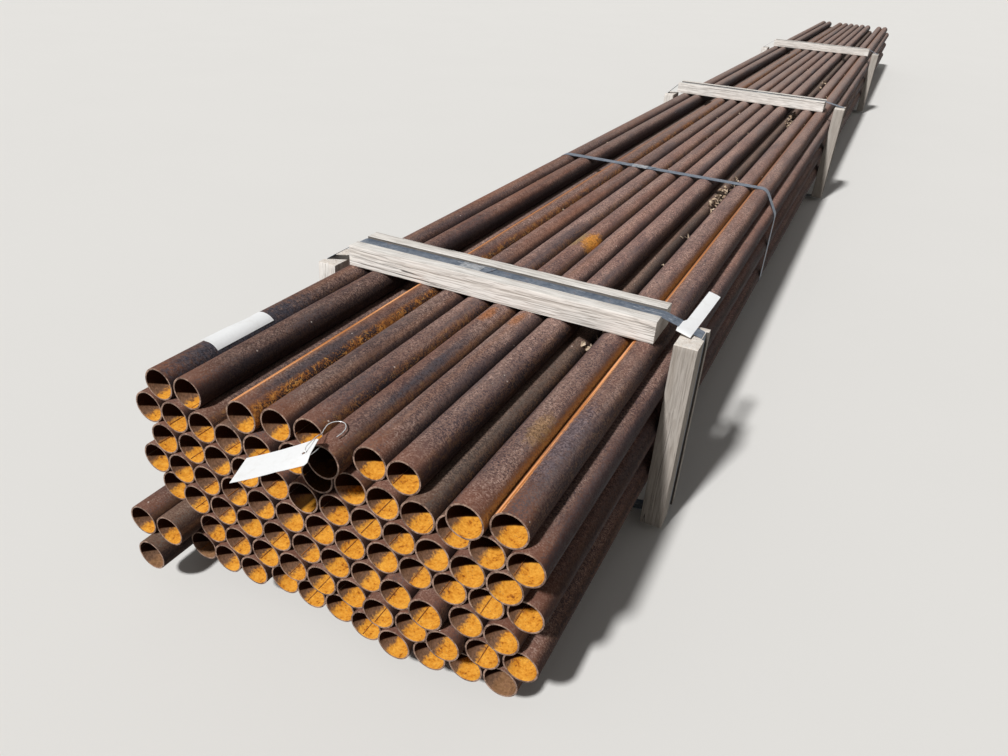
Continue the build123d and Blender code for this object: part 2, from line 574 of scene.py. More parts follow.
class SharedEffects:
    """Node groups that several finishes use, each built once."""

    def __init__(self) -> None:
        """Build every group."""
        self.mottle = self._mottle()
        self.patch = self._patch()
        self.speck = self._speck()
        self.grain = self._grain()

    @staticmethod
    def _group(name: str, inputs: dict[str, float | None], outputs: list[str]) -> tuple:
        """Start a node group with named sockets.

        Args:
            name: The group's name.
            inputs: Each input and its usual value, or None for a vector.
            outputs: The names of its number outputs.

        Returns:
            The group, its sheet, its input node and its output node.
        """
        group = bpy.data.node_groups.new(name, "ShaderNodeTree")
        for label, usual in inputs.items():
            kind = "NodeSocketVector" if usual is None else "NodeSocketFloat"
            socket = group.interface.new_socket(label, in_out="INPUT", socket_type=kind)
            if usual is not None:
                socket.default_value = usual
        for label in outputs:
            group.interface.new_socket(label, in_out="OUTPUT", socket_type="NodeSocketFloat")
        sheet = Sheet(group)
        return group, sheet, sheet.node("NodeGroupInput"), sheet.node("NodeGroupOutput")

    def _mottle(self) -> Tree:
        """Uneven tone of two sizes, the finer one three times as fine.

        Returns:
            The group, with its Value output around 0.5.
        """
        group, sheet, given, result = self._group(
            "uneven tone", {"Place": None, "Size": 90.0, "Contrast": 2.0}, ["Value"]
        )
        coarse = sheet.clouds(given.outputs["Place"], given.outputs["Size"])
        finer = sheet.times(given.outputs["Size"], 3.1)
        fine = sheet.clouds(given.outputs["Place"], finer, detail=2.0)
        both = sheet.plus(coarse, fine)
        centred = sheet.minus(both, 1.0)
        strong = sheet.times(centred, given.outputs["Contrast"])
        sheet.feed(result.inputs["Value"], sheet.math("ADD", strong, 0.5, clamp=True))
        return group

    def _patch(self) -> Tree:
        """Ragged patches that cover part of the surface.

        Returns:
            The group, with its Mask output from 0 to 1.
        """
        group, sheet, given, result = self._group(
            "ragged patches", {"Place": None, "Size": 10.0, "From": 0.55, "Edge": 0.08}, ["Mask"]
        )
        field_value = sheet.clouds(given.outputs["Place"], given.outputs["Size"], detail=6.0, rough=0.65)
        upper = sheet.plus(given.outputs["From"], given.outputs["Edge"])
        sheet.feed(result.inputs["Mask"], sheet.ease(field_value, given.outputs["From"], upper))
        return group

    def _speck(self) -> Tree:
        """Small round specks, each at its own place.

        Returns:
            The group, with its Mask output from 0 to 1.
        """
        group, sheet, given, result = self._group(
            "specks", {"Place": None, "Size": 60.0, "Width": 0.2}, ["Mask"]
        )
        cells = sheet.node("TexVoronoi")
        sheet.feed(cells.inputs["Vector"], given.outputs["Place"])
        sheet.feed(cells.inputs["Scale"], given.outputs["Size"])
        inner = sheet.times(given.outputs["Width"], 0.6)
        mask = sheet.fall(cells.outputs["Distance"], inner, given.outputs["Width"])
        sheet.feed(result.inputs["Mask"], mask)
        return group

    def _grain(self) -> Tree:
        """Wood grain along X: long fine lines, broader bands, and drying cracks.

        Returns:
            The group, with its Lines, Bands and Cracks outputs from 0 to 1.
        """
        group, sheet, given, result = self._group(
            "wood grain", {"Place": None, "Fineness": 260.0, "Cracks": 0.010}, ["Lines", "Bands", "Cracks"]
        )
        where = given.outputs["Place"]
        sway = sheet.clouds(sheet.turned(where, scale=(1.6, 7.0, 7.0)), 1.0, detail=1.0)
        combine = sheet.node("CombineXYZ")
        sheet.feed(combine.inputs[1], sway)
        sheet.feed(combine.inputs[2], sway)
        swayed = sheet.node("VectorMath", operation="MULTIPLY_ADD")
        sheet.feed(swayed.inputs[0], combine.outputs[0])
        swayed.inputs[1].default_value = (0.018, 0.018, 0.018)
        sheet.feed(swayed.inputs[2], where)
        long_drawn = sheet.turned(swayed.outputs[0], scale=(0.014, 1.0, 1.0))
        short_drawn = sheet.turned(swayed.outputs[0], scale=(0.05, 1.0, 1.0), shift=(0.7, 0.2, 1.9))
        ribs = sheet.ease(sheet.clouds(long_drawn, given.outputs["Fineness"], detail=2.0), 0.50, 0.62)
        finer = sheet.times(given.outputs["Fineness"], 1.5)
        fibres = sheet.ease(sheet.clouds(short_drawn, finer, detail=1.0), 0.50, 0.62)
        lines = sheet.plus(sheet.times(ribs, 0.55), sheet.times(fibres, 0.60))
        sheet.feed(result.inputs["Lines"], lines)
        broad = sheet.times(given.outputs["Fineness"], 0.22)
        sheet.feed(result.inputs["Bands"], sheet.ease(sheet.clouds(long_drawn, broad, detail=2.0), 0.3, 0.7))
        apart = sheet.turned(swayed.outputs[0], scale=(0.02, 1.0, 1.0), shift=(3.1, 1.7, 0.4))
        ridge = sheet.clouds(apart, 62.0, detail=1.0)
        away = sheet.math("ABSOLUTE", sheet.minus(ridge, 0.5))
        line = sheet.fall(away, 0.0, given.outputs["Cracks"])
        stretches = sheet.clouds(sheet.turned(where, scale=(2.2, 26.0, 26.0)), 1.0, detail=2.0)
        opened = sheet.ease(stretches, 0.50, 0.64)
        sheet.feed(result.inputs["Cracks"], sheet.times(line, opened))
        return group


def surface_of(name: str, rough: float = 0.5, specular: float = 0.5) -> tuple[Material, Sheet, Node]:
    """Start a material.

    Args:
        name: The material's name.
        rough: Its roughness.
        specular: Its specular level.

    Returns:
        The material, its sheet and its Principled BSDF.
    """
    material = bpy.data.materials.new(name)
    material.use_nodes = True
    shader = material.node_tree.nodes["Principled BSDF"]
    shader.inputs["Roughness"].default_value = rough
    shader.inputs["Specular IOR Level"].default_value = specular
    return material, Sheet(material.node_tree), shader


def raise_surface(sheet: Sheet, shader: Node, height, distance: float) -> None:
    """Give a material its relief.

    Args:
        sheet: The material's sheet.
        shader: Its Principled BSDF.
        height: The height pattern.
        distance: What a height of 1 means, in metres.
    """
    bump = sheet.node("Bump")
    bump.inputs["Distance"].default_value = distance
    sheet.feed(bump.inputs["Height"], height)
    sheet.feed(shader.inputs["Normal"], bump.outputs[0])


@dataclass(frozen=True)
class Spot:
    """A patch of rust or mill scale: its place across and behind the near ends, and half its sizes."""

    x: float
    y: float
    half_width: float
    half_length: float
    strength: float
    colour: Colour


@dataclass(frozen=True)
class Ground:
    """What the layers of the pipes' coat are laid by.

    It holds the place, the metres behind the near ends, a value that jumps from grain to grain, and the
    same around 0, which frays edges.
    """

    sheet: Sheet
    where: Socket
    behind: Socket
    grain: Socket
    fray: Socket


@dataclass(frozen=True)
class RustedOutside:
    """The pipes' outside: grainy brown rust, mill scale, orange blooms and a rusted weld line.

    The flanks carry painted shade, and the pale dust on the upward faces also paints the tops lighter where
    the light falls. Sizes are grains for each metre. Fades and the like are spans of metres behind the near
    ends, and edges are spans of turns round the pipe.
    """

    effects: SharedEffects
    grains: tuple[tuple[float, Colour], ...] = (
        (0.00, (0.040, 0.030, 0.036)),
        (0.28, (0.074, 0.047, 0.046)),
        (0.52, (0.150, 0.090, 0.074)),
        (0.80, (0.205, 0.128, 0.104)),
        (1.00, (0.320, 0.220, 0.180)),
    )
    grain_size: float = 480.0
    coarse_size: float = 210.0
    shake: float = 0.0008
    shake_size: float = 650.0
    lightens: Span = (0.10, 1.1)
    reddish: Colour = (0.205, 0.080, 0.045)
    red_reach: float = 0.085
    scale_colour: Colour = (0.030, 0.033, 0.046)
    # Painted shade: the near-black laid on the pipes' flanks.
    painted_flank_shade: Colour = (0.013, 0.010, 0.012)
    bloom: tuple[tuple[float, Colour], ...] = (
        (0.00, (0.100, 0.045, 0.025)),
        (0.30, (0.290, 0.105, 0.028)),
        (0.65, (0.550, 0.220, 0.045)),
        (1.00, (0.680, 0.400, 0.130)),
    )
    bloom_fades: Span = (0.35, 1.0)
    weld_light: Colour = (0.930, 0.440, 0.200)
    weld_dark: Colour = (0.420, 0.140, 0.032)
    weld_edge: Span = (0.024, 0.036)
    halo_edge: Span = (0.015, 0.085)
    weld_fades: Span = (0.8, 2.6)
    weld_narrows: Span = (0.1, 0.9)
    weld_dulls: Span = (0.4, 1.0)
    # Pale dust on the upward faces, more of it farther back; it also paints the tops lighter where the light
    # falls.
    dust_and_top_light: Colour = (0.330, 0.262, 0.230)
    dust_and_light_gathers: Span = (0.9, 4.5)
    old_dust: Colour = (0.115, 0.092, 0.066)
    white_speck: Colour = (0.620, 0.530, 0.470)
    spots: tuple[Spot, ...] = (
        Spot(0.048, 1.040, 0.020, 0.060, 0.95, (0.640, 0.270, 0.050)),
        Spot(0.018, 1.030, 0.014, 0.060, 0.45, (0.420, 0.290, 0.080)),
        Spot(0.284, 0.185, 0.015, 0.050, 0.50, (0.330, 0.190, 0.065)),
        Spot(0.240, 0.110, 0.010, 0.030, 0.50, (0.520, 0.290, 0.170)),
        Spot(0.332, 0.180, 0.017, 0.130, 0.75, (0.120, 0.098, 0.112)),
        Spot(0.044, 0.270, 0.009, 0.160, 0.60, (0.060, 0.058, 0.070)),
        Spot(-0.320, 0.200, 0.028, 0.200, 0.95, (0.050, 0.048, 0.060)),
        Spot(-0.142, 0.190, 0.009, 0.160, 0.65, (0.058, 0.056, 0.066)),
        Spot(0.028, 0.505, 0.014, 0.035, 0.75, (0.360, 0.135, 0.048)),
        Spot(0.086, 0.515, 0.013, 0.032, 0.70, (0.330, 0.130, 0.050)),
        Spot(0.070, 0.710, 0.006, 0.050, 0.70, (0.480, 0.200, 0.055)),
    )
    spot_heights: Span = (0.35, 0.37)

    def base(self, ground: Ground, shaken: Socket) -> Socket:
        """Brown rust of light and dark grains, the dark ones crowding together in places.

        Args:
            ground: What the layers are laid by.
            shaken: The place, shaken a little so that no grain has a straight edge.

        Returns:
            The colour.
        """
        sheet = ground.sheet
        tone = sheet.value_of("pipe_tone")
        stretched = sheet.turned(ground.where, scale=(1.0, 0.13, 1.0))
        crowd = sheet.ease(sheet.clouds(stretched, 24.0), 0.32, 0.70)
        coarse = sheet.grains(shaken, self.coarse_size)
        both = sheet.plus(sheet.times(ground.grain, 0.84), sheet.times(coarse, 0.16))
        crowded = sheet.minus(both, sheet.times(crowd, 0.26))
        colour = sheet.ramp(sheet.plus(crowded, 0.15), self.grains)
        along = sheet.turned(shaken, scale=(26.0, 1.0, 26.0))
        streak = sheet.ease(sheet.clouds(along, 1.0, detail=4.0), 0.40, 0.70)
        reddened = sheet.times(streak, sheet.level(tone, -0.50, 0.62))
        colour = sheet.mix(reddened, colour, self.reddish)
        cloudy = sheet.mask(self.effects.mottle, Place=shaken, Size=50.0, Contrast=1.8)
        shade = sheet.plus(sheet.times(tone, 0.52), sheet.times(cloudy, 0.40))
        return sheet.shaded(colour, sheet.plus(shade, 0.46))

    def spot_mask(self, ground: Ground, spot: Spot, ragged: Socket) -> Socket:
        """Where a patch lies on the upper pipes.

        Args:
            ground: What the layers are laid by.
            spot: The patch.
            ragged: A pattern around 0 that frays its edge.

        Returns:
            The mask.
        """
        sheet = ground.sheet
        split = sheet.split(ground.where)
        across = sheet.math("DIVIDE", sheet.minus(split.outputs[0], spot.x), spot.half_width)
        along = sheet.math("DIVIDE", sheet.minus(ground.behind, spot.y), spot.half_length)
        reach = sheet.plus(sheet.times(across, across), sheet.times(along, along))
        inside = sheet.fall(sheet.plus(reach, sheet.times(ragged, 3.4)), 0.0, 1.4)
        upper = sheet.ease(split.outputs[2], *self.spot_heights)
        return sheet.times(sheet.times(inside, upper), spot.strength)

    def weld_line(self, ground: Ground, colour: Socket) -> Socket:
        """Lay a rusted weld line and the orange run-off beside it over a colour.

        Args:
            ground: What the layers are laid by.
            colour: The colour below.

        Returns:
            The colour.
        """
        sheet = ground.sheet
        away = sheet.math("ABSOLUTE", sheet.minus(sheet.wrapped().outputs[0], 0.5))
        fading = sheet.level(sheet.ease(ground.behind, *self.weld_fades), -0.75, 1.0)
        halo = sheet.fall(sheet.plus(away, sheet.times(ground.fray, 0.05)), *self.halo_edge)
        halo = sheet.times(halo, sheet.times(sheet.value_of("halo_glow"), fading))
        run = sheet.ramp(sheet.level(ground.grain, 0.55, 0.12), self.bloom)
        colour = sheet.laid(colour, run, halo, 0.85)
        glow = sheet.times(sheet.value_of("weld_glow"), fading)
        frayed = sheet.plus(away, sheet.times(ground.fray, 0.012))
        narrowing = sheet.times(sheet.ease(ground.behind, *self.weld_narrows), 0.010)
        line = sheet.fall(sheet.plus(frayed, narrowing), *self.weld_edge)
        drawn = sheet.turned(ground.where, scale=(1.0, 0.012, 1.0))
        strands = sheet.ease(sheet.clouds(drawn, 300.0, detail=1.0), 0.46, 0.56)
        duller = sheet.times(sheet.ease(ground.behind, *self.weld_dulls), 0.75)
        duller = sheet.math("ADD", strands, duller, clamp=True)
        bright = sheet.laid(self.weld_light, self.weld_dark, duller, 0.85)
        return sheet.mix(sheet.times(line, glow), colour, bright)

    def mill_scale(self, ground: Ground, flank: Socket) -> Socket:
        """Where blue-grey mill scale still holds, more of it on the flanks.

        Args:
            ground: What the layers are laid by.
            flank: A mask of the right flanks.

        Returns:
            The mask.
        """
        sheet = ground.sheet
        drawn = sheet.turned(ground.where, scale=(1.0, 0.10, 1.0), shift=(0.3, 2.2, 0.7))
        cloud = sheet.clouds(drawn, 21.0, detail=5.0, rough=0.6)
        cloud = sheet.plus(cloud, sheet.times(ground.fray, 0.22))
        start = sheet.level(flank, -0.10, 0.64)
        return sheet.times(sheet.ease(cloud, start, sheet.plus(start, 0.08)), 0.66)

    def side_bloom(self, ground: Ground, colour: Socket) -> Socket:
        """Lay orange blooms on the right flanks over a colour, fewer farther from the near ends.

        Args:
            ground: What the layers are laid by.
            colour: The colour below.

        Returns:
            The colour.
        """
        sheet = ground.sheet
        drawn = sheet.turned(ground.where, scale=(1.0, 0.30, 1.0))
        cloud = sheet.clouds(drawn, 34.0, detail=7.0, rough=0.75)
        cloud = sheet.plus(cloud, sheet.times(ground.fray, 0.20))
        side = sheet.ease(sheet.facing().outputs["X"], 0.42, 0.70)
        fading = sheet.level(sheet.ease(ground.behind, *self.bloom_fades), -0.45, 1.0)
        bloom = sheet.times(sheet.ease(cloud, 0.43, 0.56), sheet.times(side, fading))
        bloom = sheet.times(bloom, sheet.value_of("side_bloom"))
        patches = sheet.ease(sheet.clouds(ground.where, 90.0), 0.35, 0.75)
        hue = sheet.times(sheet.plus(sheet.times(ground.grain, 0.45), patches), 0.70)
        return sheet.mix(bloom, colour, sheet.ramp(hue, self.bloom))

    def build(self, near_ends: float) -> Material:
        """Make the material.

        Args:
            near_ends: Y of the plane that the near ends stand at.

        Returns:
            The material.
        """
        material, sheet, shader = surface_of("rusted pipe outside", specular=0.10)
        where = sheet.place()
        facing = sheet.facing()
        behind = sheet.minus(sheet.split(where).outputs[1], near_ends)
        jitter = sheet.node("TexNoise")
        sheet.feed(jitter.inputs["Vector"], where)
        sheet.feed(jitter.inputs["Scale"], self.shake_size)
        shaken = sheet.node("VectorMath", operation="MULTIPLY_ADD")
        sheet.feed(shaken.inputs[0], jitter.outputs["Color"])
        shaken.inputs[1].default_value = (self.shake, self.shake, self.shake)
        sheet.feed(shaken.inputs[2], where)
        grain = sheet.grains(shaken.outputs[0], self.grain_size)
        ground = Ground(sheet, where, behind, grain, sheet.minus(grain, 0.5))
        colour = self.base(ground, shaken.outputs[0])
        colour = sheet.shaded(colour, sheet.level(sheet.ease(behind, *self.lightens), 0.52, 1.04))

        frayed = sheet.plus(sheet.wrapped().outputs[1], sheet.times(ground.fray, 0.05))
        colour = sheet.laid(colour, self.reddish, sheet.fall(frayed, 0.0, self.red_reach), 0.55)

        mill = self.mill_scale(ground, sheet.ease(facing.outputs["X"], 0.12, 0.62))
        colour = sheet.mix(mill, colour, self.scale_colour)

        # Pale dust and painted top light: the upward faces are painted lighter, more so farther back.
        upward = sheet.ease(facing.outputs["Z"], 0.55, 1.0)
        far = sheet.ease(behind, *self.dust_and_light_gathers)
        drift = sheet.ease(sheet.clouds(where, 11.0, detail=5.0), 0.30, 0.75)
        dust_and_light = sheet.plus(sheet.times(drift, 0.12), sheet.times(far, 0.50))
        colour = sheet.mix(sheet.times(dust_and_light, upward), colour, self.dust_and_top_light)
        dusty = sheet.shaded(self.old_dust, sheet.plus(grain, 0.5))
        colour = sheet.laid(colour, dusty, sheet.value_of("old_dust"), 0.55)

        # Painted shade: the flanks of every pipe are darkened towards black.
        flank_shade = sheet.ease(sheet.math("ABSOLUTE", facing.outputs["X"]), 0.52, 0.94)
        colour = sheet.laid(colour, self.painted_flank_shade, flank_shade, 0.84)

        colour = self.side_bloom(ground, colour)
        colour = self.weld_line(ground, colour)
        ragged = sheet.minus(sheet.clouds(where, 120.0, detail=5.0, rough=0.7), 0.5)
        for spot in self.spots:
            lit = sheet.shaded(spot.colour, sheet.level(grain, 0.9, 0.45))
            colour = sheet.mix(self.spot_mask(ground, spot, ragged), colour, lit)

        dots = sheet.mask(self.effects.speck, Place=where, Size=27.0, Width=0.058)
        some = sheet.ease(sheet.clouds(where, 14.0, detail=1.0), 0.40, 0.52)
        some = sheet.times(some, sheet.ease(facing.outputs["Z"], 0.2, 0.7))
        colour = sheet.laid(colour, self.white_speck, sheet.times(dots, some), 0.85)

        sheet.feed(shader.inputs["Base Color"], colour)
        sheet.feed(shader.inputs["Roughness"], sheet.level(mill, -0.30, 0.80))
        raise_surface(sheet, shader, sheet.clouds(where, 900.0, detail=1.0), 0.0004)
        return material


@dataclass(frozen=True)
class RustedInside:
    """The pipes' bore: orange rust low in the mouth, brown above it, and dark where no light falls.

    The orange shows where the light falls, the brown above it is painted shade, and the dark is painted
    shadow. The light reaches lit_depth metres in at the bottom, less up the sides, and leans by sun_slant.
    """

    effects: SharedEffects
    rust: tuple[tuple[float, Colour], ...] = (
        (0.00, (0.200, 0.065, 0.014)),
        (0.14, (0.440, 0.150, 0.018)),
        (0.36, (0.680, 0.275, 0.030)),
        (1.00, (0.880, 0.430, 0.062)),
    )
    # Brown painted shade on the walls that the light misses; it also darkens the pits.
    brown: Colour = (0.215, 0.122, 0.076)
    # The painted shadow's colour.
    dark: Colour = (0.018, 0.006, 0.003)
    lit_depth: float = 0.050
    sun_slant: float = 0.19

    def build(self, pipe_length: float) -> Material:
        """Make the material.

        Args:
            pipe_length: A pipe's length in metres.

        Returns:
            The material.
        """
        material, sheet, shader = surface_of("rusted pipe bore", rough=0.9, specular=0.04)
        where = sheet.place()
        facing = sheet.facing()
        grain = sheet.grains(where, 300.0)
        grainy = sheet.minus(grain, 0.5)
        cloudy = sheet.minus(sheet.clouds(where, 75.0), 0.5)
        mottle = sheet.mask(self.effects.mottle, Place=where, Size=60.0, Contrast=1.8)
        hue = sheet.plus(sheet.times(mottle, 0.75), sheet.times(grain, 0.35))
        colour = sheet.ramp(hue, self.rust)
        pits = sheet.mask(self.effects.speck, Place=where, Size=170.0, Width=0.22)
        colour = sheet.laid(colour, self.brown, pits, 0.40)

        # Painted light and shade: bright orange where the light falls on the low and right walls, brown
        # painted shade on the upper and left ones.
        low = sheet.times(facing.outputs["Z"], 0.80)
        aside = sheet.minus(low, sheet.times(facing.outputs["X"], 0.60))
        shift = sheet.level(sheet.value_of("pipe_tone"), 0.45, -0.24)
        frayed = sheet.plus(aside, sheet.times(cloudy, 0.42))
        frayed = sheet.plus(frayed, sheet.times(grainy, 0.16))
        bright = sheet.ease(sheet.plus(frayed, shift), 0.10, 0.46)
        bright = sheet.times(bright, sheet.value_of("bore_sunlit_rust"))
        brown = sheet.shaded(self.brown, sheet.level(grain, 0.5, 0.7))
        colour = sheet.mix(bright, brown, colour)

        # Painted shadow: the bore goes nearly black past the depth that the light reaches from the mouth.
        slanted = sheet.times(facing.outputs["X"], self.sun_slant)
        lowness = sheet.minus(facing.outputs["Z"], slanted)
        reached = sheet.times(lowness, self.lit_depth)
        ragged = sheet.plus(sheet.depth(pipe_length), sheet.times(cloudy, 0.003))
        deep = sheet.ease(sheet.minus(ragged, reached), -0.003, 0.001)
        colour = sheet.mix(deep, colour, self.dark)
        # Painted shadow of the tag, laid over the bores behind it.
        shaded = sheet.minus(sheet.times(sheet.value_of("painted_tag_shadow"), 1.6), lowness)
        colour = sheet.laid(colour, self.dark, sheet.ease(shaded, 0.0, 0.1), 0.96)
        sheet.feed(shader.inputs["Base Color"], colour)
        raise_surface(sheet, shader, sheet.clouds(where, 380.0, detail=3.0), 0.0007)
        return material


@dataclass(frozen=True)
class CutRim:
    """The sawn ring at a pipe's end, light where it is bare, brown where it has rusted."""

    effects: SharedEffects
    light: Colour = (0.370, 0.240, 0.178)
    rusty: Colour = (0.110, 0.058, 0.040)

    def build(self) -> Material:
        """Make the material.

        Returns:
            The material.
        """
        material, sheet, shader = surface_of("pipe rim", rough=0.7)
        where = sheet.place()
        worn = sheet.mask(self.effects.patch, Place=where, Size=90.0, From=0.40, Edge=0.25)
        colour = sheet.mix(worn, self.light, self.rusty)
        shade = sheet.level(sheet.grains(where, 420.0), 0.6, 0.6)
        sheet.feed(shader.inputs["Base Color"], sheet.shaded(colour, shade))
        raise_surface(sheet, shader, sheet.clouds(where, 500.0), 0.0004)
        return material


@dataclass(frozen=True)
class WeldBead:
    """The ridge of the weld inside the pipe, with the same painted shadow as the bore past where the light
    reaches.
    """

    effects: SharedEffects
    light: Colour = (0.480, 0.180, 0.035)
    dark: Colour = (0.120, 0.045, 0.016)
    # The painted shadow's colour.
    shade: Colour = (0.018, 0.006, 0.003)

    def build(self, pipe_length: float) -> Material:
        """Make the material.

        Args:
            pipe_length: A pipe's length in metres.

        Returns:
            The material.
        """
        material, sheet, shader = surface_of("inner weld bead", rough=0.8)
        where = sheet.place()
        mottle = sheet.mask(self.effects.mottle, Place=where, Size=120.0, Contrast=2.0)
        colour = sheet.mix(mottle, self.dark, self.light)
        # Painted shadow past the depth that the light reaches, as in the bore.
        past = sheet.minus(sheet.depth(pipe_length), sheet.value_of("bead_reach"))
        deep = sheet.ease(past, -0.002, 0.002)
        sheet.feed(shader.inputs["Base Color"], sheet.mix(deep, colour, self.shade))
        return material


@dataclass(frozen=True)
class WeatheredWood:
    """Rough sawn timber bleached by the sun, with grain lines, drying cracks and painted shade in the groove.
    """

    name: str
    effects: SharedEffects
    grain: Grain
    pale: Colour = (0.950, 0.915, 0.865)
    line: Colour = (0.270, 0.225, 0.185)
    warm: Colour = (0.600, 0.440, 0.300)
    crack: Colour = (0.040, 0.030, 0.024)
    # Painted shade in the groove.
    painted_groove_shade: Colour = (0.060, 0.050, 0.042)
    warmth: float = 0.16
    # Grey weathering on the side faces, which on the right posts is also painted shade.
    grey_and_shade: float = 0.0
    shift: Triple = (0.0, 0.0, 0.0)

    def build(self) -> Material:
        """Make the material.

        Returns:
            The material.
        """
        material, sheet, shader = surface_of(self.name, rough=0.9, specular=0.25)
        where = sheet.turned(sheet.place(), turn=self.grain.value, shift=self.shift)
        grain = sheet.use(self.effects.grain, Place=where, Fineness=250.0, Cracks=0.010)
        facing = sheet.facing()
        along = facing.outputs["X"] if self.grain is Grain.ALONG_X else facing.outputs["Z"]
        end = sheet.ease(sheet.math("ABSOLUTE", along), 0.75, 0.95)
        inner = sheet.minus(1.0, end)
        colour = sheet.laid(self.pale, self.warm, grain.outputs["Bands"], self.warmth)
        blotched = sheet.turned(where, scale=(0.25, 1.0, 1.0))
        stain = sheet.mask(self.effects.patch, Place=blotched, Size=20.0, From=0.48, Edge=0.2)
        colour = sheet.laid(colour, self.line, stain, 0.16)
        # Grey weathering and painted shade on the side faces, not on the end grain.
        colour = sheet.laid(colour, self.line, inner, self.grey_and_shade)
        colour = sheet.laid(colour, self.line, sheet.times(grain.outputs["Lines"], inner), 0.45)
        cracks = sheet.times(grain.outputs["Cracks"], inner)
        colour = sheet.laid(colour, self.crack, cracks, 0.90)
        rings = sheet.mask(self.effects.mottle, Place=where, Size=120.0, Contrast=1.6)
        colour = sheet.laid(colour, self.warm, sheet.times(rings, end), 0.45)
        # Painted shade in the groove.
        colour = sheet.laid(colour, self.painted_groove_shade, sheet.value_of("groove_depth"), 0.88)
        sheet.feed(shader.inputs["Base Color"], colour)
        height = sheet.minus(1.0, grain.outputs["Lines"])
        height = sheet.minus(height, sheet.times(cracks, 3.0))
        fuzz = sheet.times(sheet.clouds(where, 500.0), 0.4)
        raise_surface(sheet, shader, sheet.plus(height, fuzz), 0.0009)
        return material


@dataclass(frozen=True)
class BluedSteel:
    """Strapping steel with a worn blue-grey coat and rust starting at scratches."""

    name: str
    effects: SharedEffects
    coat: Colour = (0.055, 0.080, 0.118)
    worn: Colour = (0.155, 0.185, 0.232)
    scratch: Colour = (0.620, 0.640, 0.670)
    rust: Colour = (0.200, 0.095, 0.050)

    def build(self) -> Material:
        """Make the material.

        Returns:
            The material.
        """
        material, sheet, shader = surface_of(self.name)
        where = sheet.place()
        rubbed = sheet.mask(self.effects.mottle, Place=where, Size=45.0, Contrast=2.2)
        colour = sheet.mix(rubbed, self.coat, self.worn)
        drawn = sheet.turned(where, scale=(0.12, 1.0, 1.0))
        bared = sheet.mask(self.effects.patch, Place=drawn, Size=190.0, From=0.60, Edge=0.06)
        colour = sheet.laid(colour, self.scratch, bared, 0.55)
        rusty = sheet.mask(self.effects.patch, Place=where, Size=45.0, From=0.6, Edge=0.08)
        colour = sheet.laid(colour, self.rust, rusty, 0.45)
        sheet.feed(shader.inputs["Base Color"], colour)
        sheet.feed(shader.inputs["Metallic"], sheet.level(rusty, -0.25, 0.28))
        sheet.feed(shader.inputs["Roughness"], sheet.level(rusty, 0.35, 0.46))
        raise_surface(sheet, shader, sheet.clouds(where, 240.0), 0.0003)
        return material


@dataclass(frozen=True)
class PlainPaper:
    """Bare card or paper, a little soiled."""

    name: str
    effects: SharedEffects
    sheet_colour: Colour = (0.880, 0.885, 0.885)
    soiled: Colour = (0.600, 0.560, 0.500)
    soiling: float = 0.25

    def build(self) -> Material:
        """Make the material.

        Returns:
            The material.
        """
        material, sheet, shader = surface_of(self.name, rough=0.6)
        where = sheet.place()
        dirt = sheet.mask(self.effects.patch, Place=where, Size=35.0, From=0.5, Edge=0.25)
        colour = sheet.laid(self.sheet_colour, self.soiled, dirt, self.soiling)
        sheet.feed(shader.inputs["Base Color"], colour)
        raise_surface(sheet, shader, sheet.clouds(where, 160.0), 0.0004)
        return material


@dataclass(frozen=True)
class DrawnWire:
    """Bright wire with a little tarnish."""

    effects: SharedEffects
    bright: Colour = (0.640, 0.645, 0.650)
    tarnish: Colour = (0.300, 0.270, 0.235)

    def build(self) -> Material:
        """Make the material.

        Returns:
            The material.
        """
        material, sheet, shader = surface_of("drawn wire")
        where = sheet.place()
        dull = sheet.mask(self.effects.patch, Place=where, Size=140.0, From=0.5, Edge=0.2)
        sheet.feed(shader.inputs["Base Color"], sheet.laid(self.bright, self.tarnish, dull, 0.6))
        shader.inputs["Metallic"].default_value = 0.8
        sheet.feed(shader.inputs["Roughness"], sheet.level(dull, 0.3, 0.3))
        return material


@dataclass(frozen=True)
class DryLeaf:
    """Dry leaves and straw, from pale straw to brown."""

    effects: SharedEffects
    pale: Colour = (0.690, 0.560, 0.420)
    brown: Colour = (0.270, 0.165, 0.095)

    def build(self) -> Material:
        """Make the material.

        Returns:
            The material.
        """
        material, sheet, shader = surface_of("dry leaf", rough=0.85)
        blotch = sheet.mask(self.effects.mottle, Place=sheet.place(), Size=70.0, Contrast=1.5)
        age = sheet.times(sheet.plus(blotch, sheet.value_of("leaf_age")), 0.5)
        sheet.feed(shader.inputs["Base Color"], sheet.mix(age, self.pale, self.brown))
        return material


@dataclass(frozen=True)
class PipePlace:
    """One pipe's place: its axis, its two ends and its number in the row."""

    row: int
    number: int
    x: float
    z: float
    near: float
    far: float


